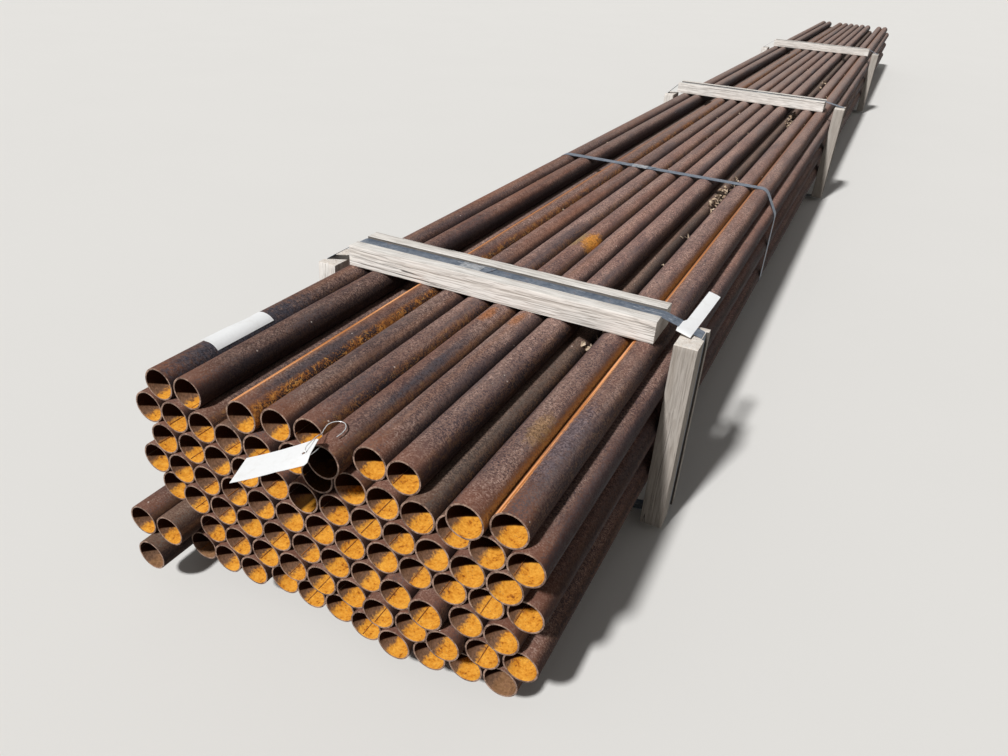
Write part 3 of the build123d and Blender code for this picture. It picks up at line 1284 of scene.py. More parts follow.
@dataclass
class Lattice:
    """The bundle's pipes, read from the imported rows."""

    radius: float = 0.0
    pitch: float = 0.0
    second_row_steps: int = 12
    rows: dict[int, list[PipePlace]] = field(default_factory=dict)

    def read(self, nodes: dict[str, Piece]) -> None:
        """Find every pipe in the row nodes.

        Args:
            nodes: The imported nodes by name.
        """
        low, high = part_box("pipe_row_2")
        self.radius = (high.z - low.z) / 2
        self.pitch = (high.x - low.x - 2 * self.radius) / self.second_row_steps
        for row in range(1, ROW_COUNT + 1):
            name = f"pipe_row_{row}"
            low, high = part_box(name)
            points = np.array([vertex.co[:] for vertex in nodes[name].data.vertices])
            count = round((high.x - low.x - 2 * self.radius) / self.pitch) + 1
            places = []
            for number in range(count):
                x = low.x + self.radius + number * self.pitch
                own = points[np.abs(points[:, 0] - x) < self.pitch / 2]
                if len(own):
                    z = (low.z + high.z) / 2
                    places.append(PipePlace(row, number, x, z, own[:, 1].min(), own[:, 1].max()))
            self.rows[row] = places

    def pipe_length(self) -> float:
        """Every pipe's length."""
        first = self.rows[1][0]
        return first.far - first.near

    def top_place(self, number: int) -> PipePlace:
        """The pipe at a numbered place of the top row."""
        return next(place for place in self.rows[1] if place.number == number)

    def open_above(self, below: PipePlace) -> bool:
        """Whether a pipe of the second row lies under an empty place of the top row.

        Args:
            below: The pipe.

        Returns:
            True if it does.
        """
        filled = [place.x for place in self.rows[1]]
        above = [below.x + side * self.pitch / 2 for side in (-1, 1)]
        between = [x for x in above if filled[0] < x < filled[-1]]
        return any(min(abs(x - pipe) for pipe in filled) > self.pitch / 2 for x in between)


@dataclass
class Pipes:
    """The welded pipes: one is modelled, and every place gets a copy turned its own way.

    The tables give single pipes, by row and place, another value than the rest have. The top row's tones
    run over its twelve places.
    """

    lattice: Lattice
    wall: float = 0.0032
    sides: int = 48
    rim_bevel: float = 0.0006
    bead_radius: float = 0.0009
    bead_sides: int = 8
    bead_inset: float = 0.002
    smooth_angle: float = 40.0
    choose: random.Random = chance(17)
    turn_range: float = 110.0
    low_share: float = 42.0
    low_turn: float = 214.0
    low_spread: float = 0.4
    weld_turn: ByPipe = by_pipe(
        {(1, 1): 172.0, (1, 3): -26.0, (1, 8): 226.0, (1, 10): 72.0, (1, 11): -39.0}
        | {(2, 2): 214.0, (2, 9): 150.0, (2, 12): 222.0}
    )
    faint_weld: float = 0.04
    glowing_welds: ByPipe = by_pipe({(1, 3): 0.95, (1, 11): 1.0})
    faint_halo: float = 0.05
    glowing_sides: ByPipe = by_pipe({(1, 3): 0.60, (1, 10): 1.0, (1, 11): 0.35})
    faint_bloom: float = 0.10
    blooms: ByPipe = by_pipe({(1, 3): 0.9, (1, 4): 0.05, (1, 5): 0.30, (1, 6): 0.15, (2, 2): 0.3})
    # Bores darkened by the painted shadow of the tag.
    painted_tag_shadows: ByPipe = by_pipe({(1, 6): 1.0, (2, 6): 1.0, (3, 5): 0.62})
    # These bores show little of the painted sunlit orange.
    brown_bores: ByPipe = by_pipe({(7, 0): 0.1, (7, 1): 0.1, (7, 11): 0.1})
    sheltered: float = 0.75
    dusty: ByPipe = by_pipe({(2, 2): 0.35, (6, 1): 0.85, (7, 0): 0.95})
    top_tones: tuple[float, ...] = (0.08, 0.06, 0.0, 0.28, 0.33, 0.74, 0.64, 0.80, 0.95, 0.0, 0.80, 0.64)

    def model_one(self, length: float) -> Piece:
        """Model one pipe along Y from the origin, its weld uppermost.

        Args:
            length: The pipe's length.

        Returns:
            The pipe.
        """
        radius = self.lattice.radius
        deselect_all()
        bpy.ops.mesh.primitive_cylinder_add(
            vertices=self.sides,
            radius=radius,
            depth=length,
            end_fill_type="NGON",
            location=(0, length / 2, 0),
            rotation=(math.pi / 2, 0, 0),
        )
        pipe = bpy.context.object
        settle(pipe)
        start_edit(pipe)
        pick_faces(pipe, lambda centre, normal: abs(normal.y) > FACES_END)
        bpy.ops.mesh.inset(thickness=self.wall)
        bpy.ops.mesh.delete(type="ONLY_FACE")
        bpy.ops.mesh.select_mode(type="EDGE")
        bore = radius - self.wall / 2
        pick_edges(pipe, lambda a, b: math.hypot(a.x, a.z) < bore and math.hypot(b.x, b.z) < bore)
        bpy.ops.mesh.bridge_edge_loops()
        bpy.ops.mesh.select_all(action="DESELECT")
        ends = (0.0, length)
        pick_edges(
            pipe,
            lambda a, b: any(abs(a.y - end) < HAIR and abs(b.y - end) < HAIR for end in ends)
            and abs(math.hypot(a.x, a.z) - math.hypot(b.x, b.z)) < HAIR,
        )
        bpy.ops.mesh.bevel(offset=self.rim_bevel, segments=2, affect="EDGES")
        turn_outwards()
        end_edit()
        return pipe

    def model_bead(self, length: float) -> Piece:
        """Model the low ridge of the weld inside the pipe.

        Args:
            length: The pipe's length.

        Returns:
            The ridge.
        """
        deselect_all()
        bpy.ops.mesh.primitive_cylinder_add(
            vertices=self.bead_sides,
            radius=self.bead_radius,
            depth=length - 2 * self.bead_inset,
            end_fill_type="NGON",
            location=(0, length / 2, self.lattice.radius - self.wall),
            rotation=(math.pi / 2, 0, 0),
        )
        bead = bpy.context.object
        settle(bead)
        return bead

    def dress(self, pipe: Piece, materials: list[Material]) -> None:
        """Give the pipe its materials by face: outside, bore and rim.

        Args:
            pipe: The pipe.
            materials: The outside, bore, rim and bead materials.
        """
        for material in materials:
            pipe.data.materials.append(material)
        middle = self.lattice.radius - self.wall / 2
        for face in pipe.data.polygons:
            reach = math.hypot(face.center.x, face.center.z)
            if abs(face.normal.y) > FACES_END:
                face.material_index = 2
            else:
                face.material_index = 0 if reach > middle else 1

    def wrap(self, pipe: Piece) -> None:
        """Lay a map round the pipe: the way round from 0 to 1, with the weld at a half, and metres along.

        Args:
            pipe: The pipe.
        """
        layer = pipe.data.uv_layers.new(name="wrap")
        points = pipe.data.vertices
        for face in pipe.data.polygons:
            base = math.atan2(face.center.x, face.center.z) / math.tau + 0.5
            for corner in face.loop_indices:
                point = points[pipe.data.loops[corner].vertex_index].co
                turn = math.atan2(point.x, point.z) / math.tau + 0.5
                turn += round(base - turn)
                layer.data[corner].uv = (turn, point.y)

    def bead_reach(self, turn: float) -> float:
        """Metres of the inner weld, turned so many degrees from the top, before the painted shadow."""
        slant = RustedInside.sun_slant * math.sin(math.radians(turn))
        return max(0.0, RustedInside.lit_depth * (slant - math.cos(math.radians(turn))))

    def turn_of(self, place: PipePlace) -> float:
        """How one pipe's weld is turned. Below the top row, one that would lie on top goes low instead.

        Args:
            place: The pipe's place.

        Returns:
            Degrees from the top.
        """
        spin = self.choose.uniform(-self.turn_range, self.turn_range)
        if place.row > 1 and abs(spin) < self.low_share:
            spin = self.low_turn + spin * self.low_spread
        return self.weld_turn.get((place.row, place.number), spin)

    def marks(self, place: PipePlace, turn: float) -> dict[str, float]:
        """What is painted on one pipe for its materials to read.

        Args:
            place: The pipe's place.
            turn: Degrees that its weld is turned from the top.

        Returns:
            Each attribute's value by its name.
        """
        key = (place.row, place.number)
        bare = place.row == 2 and self.lattice.open_above(place)
        return {
            "pipe_tone": self.top_tones[place.number] if place.row == 1 else self.choose.random(),
            "weld_glow": self.glowing_welds.get(key, self.faint_weld),
            "halo_glow": self.glowing_sides.get(key, self.faint_halo),
            "side_bloom": self.blooms.get(key, self.choose.uniform(0.0, self.faint_bloom)),
            "old_dust": self.dusty.get(key, self.sheltered if bare else 0.0),
            "painted_tag_shadow": self.painted_tag_shadows.get(key, 0.0),
            "bore_sunlit_rust": self.brown_bores.get(key, 1.0),
            "bead_reach": self.bead_reach(turn),
        }

    def build(self, materials: list[Material]) -> None:
        """Build every row.

        Args:
            materials: The outside, bore, rim and bead materials.
        """
        length = self.lattice.pipe_length()
        pipe = self.model_one(length)
        self.dress(pipe, materials)
        bead = self.model_bead(length)
        for material in materials:
            bead.data.materials.append(material)
        for face in bead.data.polygons:
            face.material_index = len(materials) - 1
        smooth_faces(pipe, self.smooth_angle)
        pipe = join_pieces([pipe, bead], "one_pipe")
        self.wrap(pipe)
        for row, places in self.lattice.rows.items():
            copies = []
            for place in places:
                twin = copy_of(pipe)
                turn = self.turn_of(place)
                for name, value in self.marks(place, turn).items():
                    paint_value(twin, name, value)
                turned = Matrix.Rotation(math.radians(turn), 4, "Y")
                settle(twin, Matrix.Translation((place.x, place.near, place.z)) @ turned)
                copies.append(twin)
            node = f"pipe_row_{row}"
            hand_over(join_pieces(copies, f"rusted_{node}"), Slot.PIPE, node)
        bpy.data.objects.remove(pipe)


@dataclass
class Timber:
    """A grooved timber, modelled along X with its groove up."""

    name: str
    node: str
    length: float
    width: float
    thickness: float
    groove_shift: float
    place: Matrix
    groove_width: float = 0.038
    groove_depth: float = 0.005
    cell: float = 0.009
    cell_stretch: float = 1.3
    least_cell: float = 0.35
    wear: float = 0.0014
    wear_size: float = 0.045
    wear_layers: int = 3
    wear_level: float = 0.55
    arris: float = 0.0011
    arris_angle: float = math.radians(50)
    smooth_angle: float = 38.0

    def model(self) -> Piece:
        """Model the timber from its end outline.

        Returns:
            The timber, in its place.
        """
        deselect_all()
        bpy.ops.mesh.primitive_plane_add(size=1.0, rotation=(0, math.pi / 2, 0))
        timber = bpy.context.object
        timber.scale = (self.thickness, self.width, 1.0)
        settle(timber)
        start_edit(timber)
        side = Vector((0, 1, 0))
        up = Vector((0, 0, 1))
        left = self.groove_shift - self.groove_width / 2
        right = self.groove_shift + self.groove_width / 2
        floor = self.thickness / 2 - self.groove_depth
        lines = [left, right]
        cells = round(self.width / self.cell)
        for step in range(1, cells):
            line = -self.width / 2 + step * self.width / cells
            if min(abs(line - left), abs(line - right)) > self.cell * self.least_cell:
                lines.append(line)
        cut_across([Vector((0, line, 0)) for line in lines], side)
        layers = round((self.thickness - self.groove_depth) / self.cell)
        layer = (floor + self.thickness / 2) / layers
        heights = [floor - layer * step for step in range(layers)]
        cut_across([Vector((0, 0, height)) for height in heights], up)
        bpy.ops.mesh.select_all(action="DESELECT")
        pick_faces(timber, lambda centre, normal: left < centre.y < right and centre.z > floor)
        bpy.ops.mesh.delete(type="FACE")
        pick_all()
        bpy.ops.mesh.extrude_region_move(TRANSFORM_OT_translate={"value": (self.length, 0, 0)})
        turn_outwards()
        bpy.ops.mesh.select_mode(type="EDGE")
        pick_edges(timber, lambda a, b: abs(a.x - b.x) > self.length / 2)
        bpy.ops.mesh.subdivide(number_cuts=round(self.length / self.cell / self.cell_stretch))
        end_edit()
        name_piece(timber, self.name)
        self.mark_groove(timber, floor, left, right)
        settle(timber, self.place @ Matrix.Translation((-self.length / 2, 0, 0)))
        self.weather(timber)
        return timber

    def mark_groove(self, timber: Piece, floor: float, left: float, right: float) -> None:
        """Paint where the groove is, so that painted shade can darken it.

        Args:
            timber: The timber, still along X.
            floor: The groove floor's height.
            left: The groove's one wall.
            right: Its other wall.
        """
        layer = timber.data.attributes.new("groove_depth", "FLOAT", "FACE")
        values = []
        for face in timber.data.polygons:
            inside = left - HAIR <= face.center.y <= right + HAIR and face.center.z >= floor - HAIR
            values.append(1.0 if inside and abs(face.normal.x) < FACES_END else 0.0)
        layer.data.foreach_set("value", values)

    def weather(self, timber: Piece) -> None:
        """Round and wear the arrises and make the faces a little uneven.

        Args:
            timber: The timber in its place.
        """
        sharp = self.arris_angle
        apply_modifier(timber, "BEVEL", width=self.arris, segments=2, limit_method="ANGLE", angle_limit=sharp)
        uneven = bpy.data.textures.new(f"{self.name} unevenness", "CLOUDS")
        uneven.noise_scale = self.wear_size
        uneven.noise_depth = self.wear_layers
        apply_modifier(
            timber,
            "DISPLACE",
            texture=uneven,
            texture_coords="GLOBAL",
            strength=self.wear,
            mid_level=self.wear_level,
        )
        smooth_faces(timber, self.smooth_angle)


@dataclass
class Cribs:
    """The three cribs' bars and posts."""

    count: int = CRIB_COUNT
    grey_and_shade: float = 0.12
    # The right posts' sides are painted grey and darker than their tops: weathering and painted shade.
    right_grey_and_shade: float = 0.72
    grain_step: Triple = (0.37, 0.21, 0.13)

    def timbers(self) -> list[Timber]:
        """Every timber, measured on its node.

        Returns:
            The timbers.
        """
        found = []
        for number in range(1, self.count + 1):
            for kind in ("top_bar", "bottom_bar"):
                node = f"{kind}_{number}"
                low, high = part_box(node)
                flip = Matrix.Rotation(math.pi if kind == "bottom_bar" else 0.0, 4, "X")
                centre = Matrix.Translation((low + high) / 2)
                size = high - low
                found.append(Timber(f"worn_{node}", node, size.x, size.y, size.z, 0.0, centre @ flip))
            strap_low, strap_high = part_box(f"crib_strap_{number}")
            strap_y = (strap_low.y + strap_high.y) / 2
            for kind, side in (("left_post", -1), ("right_post", 1)):
                node = f"{kind}_{number}"
                low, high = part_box(node)
                size = high - low
                middle = (low + high) / 2
                axes = Matrix(((0, 0, side), (0, -side, 0), (1, 0, 0))).to_4x4()
                shift = -side * (strap_y - middle.y)
                place = Matrix.Translation(middle) @ axes
                found.append(Timber(f"worn_{node}", node, size.z, size.y, size.x, shift, place))
        return found

    def build(self, effects: SharedEffects) -> None:
        """Build and dress every timber.

        Args:
            effects: The shared node groups.
        """
        for order, timber in enumerate(self.timbers()):
            finish = WeatheredWood(
                name=f"{timber.node} wood",
                effects=effects,
                grain=Grain.ALONG_Z if "post" in timber.node else Grain.ALONG_X,
                grey_and_shade=self.right_grey_and_shade if "right_post" in timber.node else self.grey_and_shade,
                shift=tuple(order * step for step in self.grain_step),
            )
            piece = timber.model()
            piece.data.materials.append(finish.build())
            hand_over(piece, Slot.TIMBER, timber.node)


@dataclass
class Strap:
    """A flat steel strap pulled round a path of corners, its ends lapped."""

    name: str
    node: str
    centre: float
    corners: list[tuple[float, float]]
    seal_place: float
    top: float
    width: float = 0.032
    thickness: float = 0.0008
    bend: float = 0.005
    bend_segments: int = 4
    bend_angle: float = math.radians(8)
    lap_before: float = 0.038
    lap_after: float = 0.052
    lap_stations: int = 9
    lap_height: float = 1.05
    lap_lift: float = 0.0006
    lap_slant: float = 0.35
    closing_gap: float = 1e-5
    smooth_angle: float = 30.0

    def strip(self, points: list[Vector], closed: bool) -> Piece:
        """Extrude an edge along a path to make a strip of the strap's width.

        Args:
            points: The path's points on the strap's front edge.
            closed: Whether the path returns to its start.

        Returns:
            The strip.
        """
        deselect_all()
        bpy.ops.mesh.primitive_plane_add(size=1.0)
        strip = bpy.context.object
        start_edit(strip, "VERT")
        pick_all()
        bpy.ops.mesh.delete(type="VERT")
        mesh = bmesh.from_edit_mesh(strip.data)
        first = mesh.verts.new(points[0])
        second = mesh.verts.new(points[0] + Vector((0, self.width, 0)))
        mesh.edges.new((first, second)).select_set(True)
        bmesh.update_edit_mesh(strip.data)
        bpy.ops.mesh.select_mode(type="EDGE")
        pick_all()
        route = points + [points[0]] if closed else points
        for here, there in zip(route, route[1:]):
            bpy.ops.mesh.extrude_edges_move(TRANSFORM_OT_translate={"value": tuple(there - here)})
        pick_all()
        bpy.ops.mesh.remove_doubles(threshold=self.closing_gap)
        turn_outwards()
        end_edit()
        return strip

    def model(self) -> Piece:
        """Model the loop and the lapped end on top of it.

        Returns:
            The strap.
        """
        front = self.centre - self.width / 2
        loop = self.strip([Vector((x, front, z)) for x, z in self.corners], closed=True)
        apply_modifier(
            loop,
            "BEVEL",
            width=self.bend,
            segments=self.bend_segments,
            limit_method="ANGLE",
            angle_limit=self.bend_angle,
        )
        apply_modifier(loop, "SOLIDIFY", thickness=self.thickness, offset=1.0)
        height = self.top + self.thickness * self.lap_height
        tip = self.seal_place + self.lap_after
        run = np.linspace(self.seal_place - self.lap_before, tip, self.lap_stations)
        rise = [self.lap_lift * abs(x - self.seal_place) / self.lap_after for x in run]
        lap = self.strip([Vector((x, front, height + lift)) for x, lift in zip(run, rise)], closed=False)
        for point in lap.data.vertices:
            if point.co.x > tip - HAIR and point.co.y < self.centre:
                point.co.x -= self.width * self.lap_slant
        apply_modifier(lap, "SOLIDIFY", thickness=self.thickness, offset=1.0)
        strap = join_pieces([loop, lap], self.name)
        smooth_faces(strap, self.smooth_angle)
        return strap


@dataclass
class Seal:
    """A steel seal folded over the lapped strap, crimped by notches in both edges."""

    name: str
    node: str
    length: float = 0.050
    inset: float = 0.001
    sheet: float = 0.0010
    wall: float = 0.0008
    fold_share: float = 0.78
    swell: float = 0.0007
    notch_depth: float = 0.0030
    notch_sink: float = 0.0006
    notch_width: float = 0.0085
    notch_steepness: float = 1.6
    notch_spacing: float = 0.020
    columns: int = 50
    rows: int = 14
    smooth_angle: float = 45.0

    def bite(self, along: float) -> float:
        """How far the notches reach in at one place, from 0 to about 1.

        Args:
            along: Metres from the seal's middle.

        Returns:
            The share.
        """
        places = (-self.notch_spacing / 2, self.notch_spacing / 2)
        reaches = [((along - place) / (self.notch_width / 2)) ** 2 for place in places]
        return sum(math.exp(-reach * self.notch_steepness) for reach in reaches)

    def model(self) -> Piece:
        """Model the seal where its node lies.

        Returns:
            The seal.
        """
        low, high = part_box(self.node)
        centre = (low + high) / 2
        width = high.y - low.y - self.inset
        drop = high.z - low.z - self.sheet
        deselect_all()
        seal = new_grid(self.columns, self.rows)
        for point in seal.data.vertices:
            along = point.co.x * self.length
            across = point.co.y * 2
            fold = min(1.0, abs(across) / self.fold_share)
            side = math.copysign(1.0, across)
            leg = max(0.0, (abs(across) - self.fold_share) / (1 - self.fold_share))
            bite = self.bite(along)
            pinch = self.notch_depth * bite * fold**6
            y = side * (width / 2 * fold - pinch)
            wave = 0.5 + 0.5 * math.cos(math.tau * along / self.notch_spacing)
            z = self.swell * wave * (1 - fold**2) - drop * leg - self.notch_sink * bite * fold**4
            point.co = Vector((along, y, z))
        settle(seal, Matrix.Translation((centre.x, centre.y, high.z - self.sheet)))
        apply_modifier(seal, "SOLIDIFY", thickness=self.wall, offset=1.0)
        name_piece(seal, self.name)
        smooth_faces(seal, self.smooth_angle)
        return seal


@dataclass
class Strapping:
    """All straps and seals: one round each crib and one round the bare pipes."""

    lattice: Lattice
    clearance: float = 0.0003
    pipe_gap: float = 0.0004
    hub_steps: int = 6
    hub_bend: float = 0.0004

    def crib_strap(self, number: int) -> Strap:
        """The strap of one crib, measured on its timbers.

        Args:
            number: The crib's number.

        Returns:
            The strap.
        """
        node = f"crib_strap_{number}"
        low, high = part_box(node)
        bar_low, bar_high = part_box(f"top_bar_{number}")
        base_low, base_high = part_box(f"bottom_bar_{number}")
        left_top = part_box(f"left_post_{number}")[1].z
        right_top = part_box(f"right_post_{number}")[1].z
        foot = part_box(f"left_post_{number}")[0].z
        seal_low, seal_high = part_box(f"crib_seal_{number}")
        thickness = Strap.thickness
        outside = high.x - thickness
        top = seal_low.z + self.clearance
        bottom = low.z + thickness
        corners = [
            (bar_low.x, top),
            (bar_high.x, top),
            (outside, right_top),
            (outside, foot),
            (base_high.x, bottom),
            (base_low.x, bottom),
            (-outside, foot),
            (-outside, left_top),
        ]
        centre = (low.y + high.y) / 2
        return Strap(f"steel_{node}", node, centre, corners, (seal_low.x + seal_high.x) / 2, top)

    def middle_strap(self) -> Strap:
        """The strap round the bare pipes, bent round the corner pipes.

        Returns:
            The strap.
        """
        low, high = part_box("middle_strap")
        seal_low, seal_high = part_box("middle_seal")
        reach = self.lattice.radius + self.pipe_gap
        rows = self.lattice.rows
        short_edge = rows[1][-1].x
        long_edge = rows[2][-1].x
        hubs = [
            (-short_edge, rows[1][0].z),
            (short_edge, rows[1][0].z),
            (long_edge, rows[2][0].z),
            (long_edge, rows[6][0].z),
            (short_edge, rows[7][0].z),
            (-short_edge, rows[7][0].z),
            (-long_edge, rows[6][0].z),
            (-long_edge, rows[2][0].z),
        ]
        corners = []
        for order, hub in enumerate(hubs):
            before = hubs[order - 1]
            after = hubs[(order + 1) % len(hubs)]
            start = math.atan2(hub[1] - before[1], hub[0] - before[0]) + math.pi / 2
            stop = math.atan2(after[1] - hub[1], after[0] - hub[0]) + math.pi / 2
            sweep = (stop - start + math.pi) % math.tau - math.pi
            for step in range(self.hub_steps + 1):
                angle = start + sweep * step / self.hub_steps
                corners.append((hub[0] + reach * math.cos(angle), hub[1] + reach * math.sin(angle)))
        centre = (low.y + high.y) / 2
        top = rows[1][0].z + reach
        seal_middle = (seal_low.x + seal_high.x) / 2
        name = "steel_middle_strap"
        return Strap(name, "middle_strap", centre, corners, seal_middle, top, bend=self.hub_bend)

    def build(self, strap_steel: Material, seal_steel: Material) -> None:
        """Build and dress the straps and seals.

        Args:
            strap_steel: The straps' material.
            seal_steel: The seals' material.
        """
        numbers = range(1, CRIB_COUNT + 1)
        straps = [self.crib_strap(number) for number in numbers]
        straps.append(self.middle_strap())
        seals = [Seal(f"crimped_crib_seal_{number}", f"crib_seal_{number}") for number in numbers]
        seals.append(Seal("crimped_middle_seal", "middle_seal"))
        for item in [*straps, *seals]:
            piece = item.model()
            piece.data.materials.append(strap_steel if isinstance(item, Strap) else seal_steel)
            hand_over(piece, Slot.STRAP, item.node)


@dataclass
class PipeLabel:
    """The paper label bent round the top of a pipe, one corner lifting."""

    pipe: PipePlace
    radius: float
    paper: float = LABEL_PAPER
    start: float = math.radians(50.0)
    arc: float = math.radians(77.0)
    gap: float = 0.0003
    ripple: float = 0.0004
    waves: Span = (9.0, 4.0)
    lift: float = 0.0045
    lift_across: float = 0.72
    lift_along: float = 0.75
    smooth_angle: float = 40.0

    def model(self) -> Piece:
        """Model the label.

        Returns:
            The label.
        """
        low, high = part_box("pipe_label")
        deselect_all()
        label = new_grid(columns=18, rows=22)
        for point in label.data.vertices:
            across = point.co.x + 0.5
            along = point.co.y + 0.5
            corner = max(0.0, across - self.lift_across) * max(0.0, self.lift_along - along)
            lift = self.lift * corner / (1 - self.lift_across)
            ripple = self.ripple * (1 + math.sin(self.waves[0] * along + self.waves[1] * across))
            reach = self.radius + self.gap + lift + ripple
            angle = self.start - self.arc * across
            x = self.pipe.x + reach * math.sin(angle)
            y = low.y + along * (high.y - low.y)
            point.co = Vector((x, y, self.pipe.z + reach * math.cos(angle)))
        name_piece(label, "bent_pipe_label")
        apply_modifier(label, "SOLIDIFY", thickness=self.paper, offset=1.0)
        face_outwards(label)
        smooth_faces(label, self.smooth_angle)
        return label


@dataclass
class BandLabel:
    """The long paper label folded round the first crib's strap."""

    paper: float = LABEL_PAPER
    half_width: float = 0.0128
    front: float = 0.024
    back: float = 0.007
    top_gap: float = 0.0014
    top_rise: float = 0.010
    upper_stations: int = 16
    fold: tuple[Span, ...] = ((0.0002, 0.0008), (0.0001, 0.0), (0.0003, -0.0005))
    under_gap: float = -0.0009
    under_length: float = 0.040
    under_stations: int = 6
    skew: float = 0.0026
    flare: float = 0.0045
    flare_reach: float = 0.002
    dish: float = 0.0008
    smooth_angle: float = 40.0

    def path(self, start: float, length: float) -> list[Span]:
        """The label's line seen from its edge: over the strap, round the fold and back under it.

        Args:
            start: Y of the fold.
            length: Metres from the fold to the far end.

        Returns:
            Each station's Y and lift.
        """
        shares = np.linspace(0.01, 1.0, self.upper_stations)
        upper = [(start + length * share, self.top_gap + self.top_rise * share**1.5) for share in shares]
        fold = [(start + along, lift) for along, lift in self.fold]
        shares = np.linspace(0.05, 1.0, self.under_stations)
        return upper[::-1] + fold + [(start + self.under_length * share, self.under_gap) for share in shares]

    def model(self) -> Piece:
        """Model the label.

        Returns:
            The label.
        """
        low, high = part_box("band_label")
        bar_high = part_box("top_bar_1")[1]
        strap_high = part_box("crib_strap_1")[1]
        seal_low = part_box("crib_seal_1")[0]
        post_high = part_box("right_post_1")[1]
        fall = math.atan2(seal_low.z - post_high.z, strap_high.x - bar_high.x)
        across = Vector((math.cos(fall), 0, -math.sin(fall)))
        up = Vector((math.sin(fall), 0, math.cos(fall)))
        middle = Vector(((low.x + high.x) / 2, 0, 0))
        middle.z = seal_low.z - (middle.x - bar_high.x) * math.tan(fall)
        start = low.y + self.front
        length = high.y + self.back - start
        path = self.path(start, length)
        deselect_all()
        label = new_grid(columns=4, rows=len(path) - 1)
        for point in label.data.vertices:
            station = round((point.co.y + 0.5) * (len(path) - 1))
            y, lift = path[station]
            side = point.co.x * 2
            share = (y - start) / length
            if station < self.upper_stations:
                slip = self.skew * (2.8 * share - 1.1)
                lift += self.dish * (1 - side * side)
            else:
                slip = -self.skew * (1.1 + 6 * share)
            if side < -0.9 and y < strap_high.y + self.flare_reach:
                slip -= self.flare
            point.co = middle + across * (side * self.half_width + slip) + up * lift + Vector((0, y, 0))
        name_piece(label, "folded_band_label")
        apply_modifier(label, "SOLIDIFY", thickness=self.paper, offset=0.0)
        face_outwards(label)
        smooth_faces(label, self.smooth_angle)
        return label


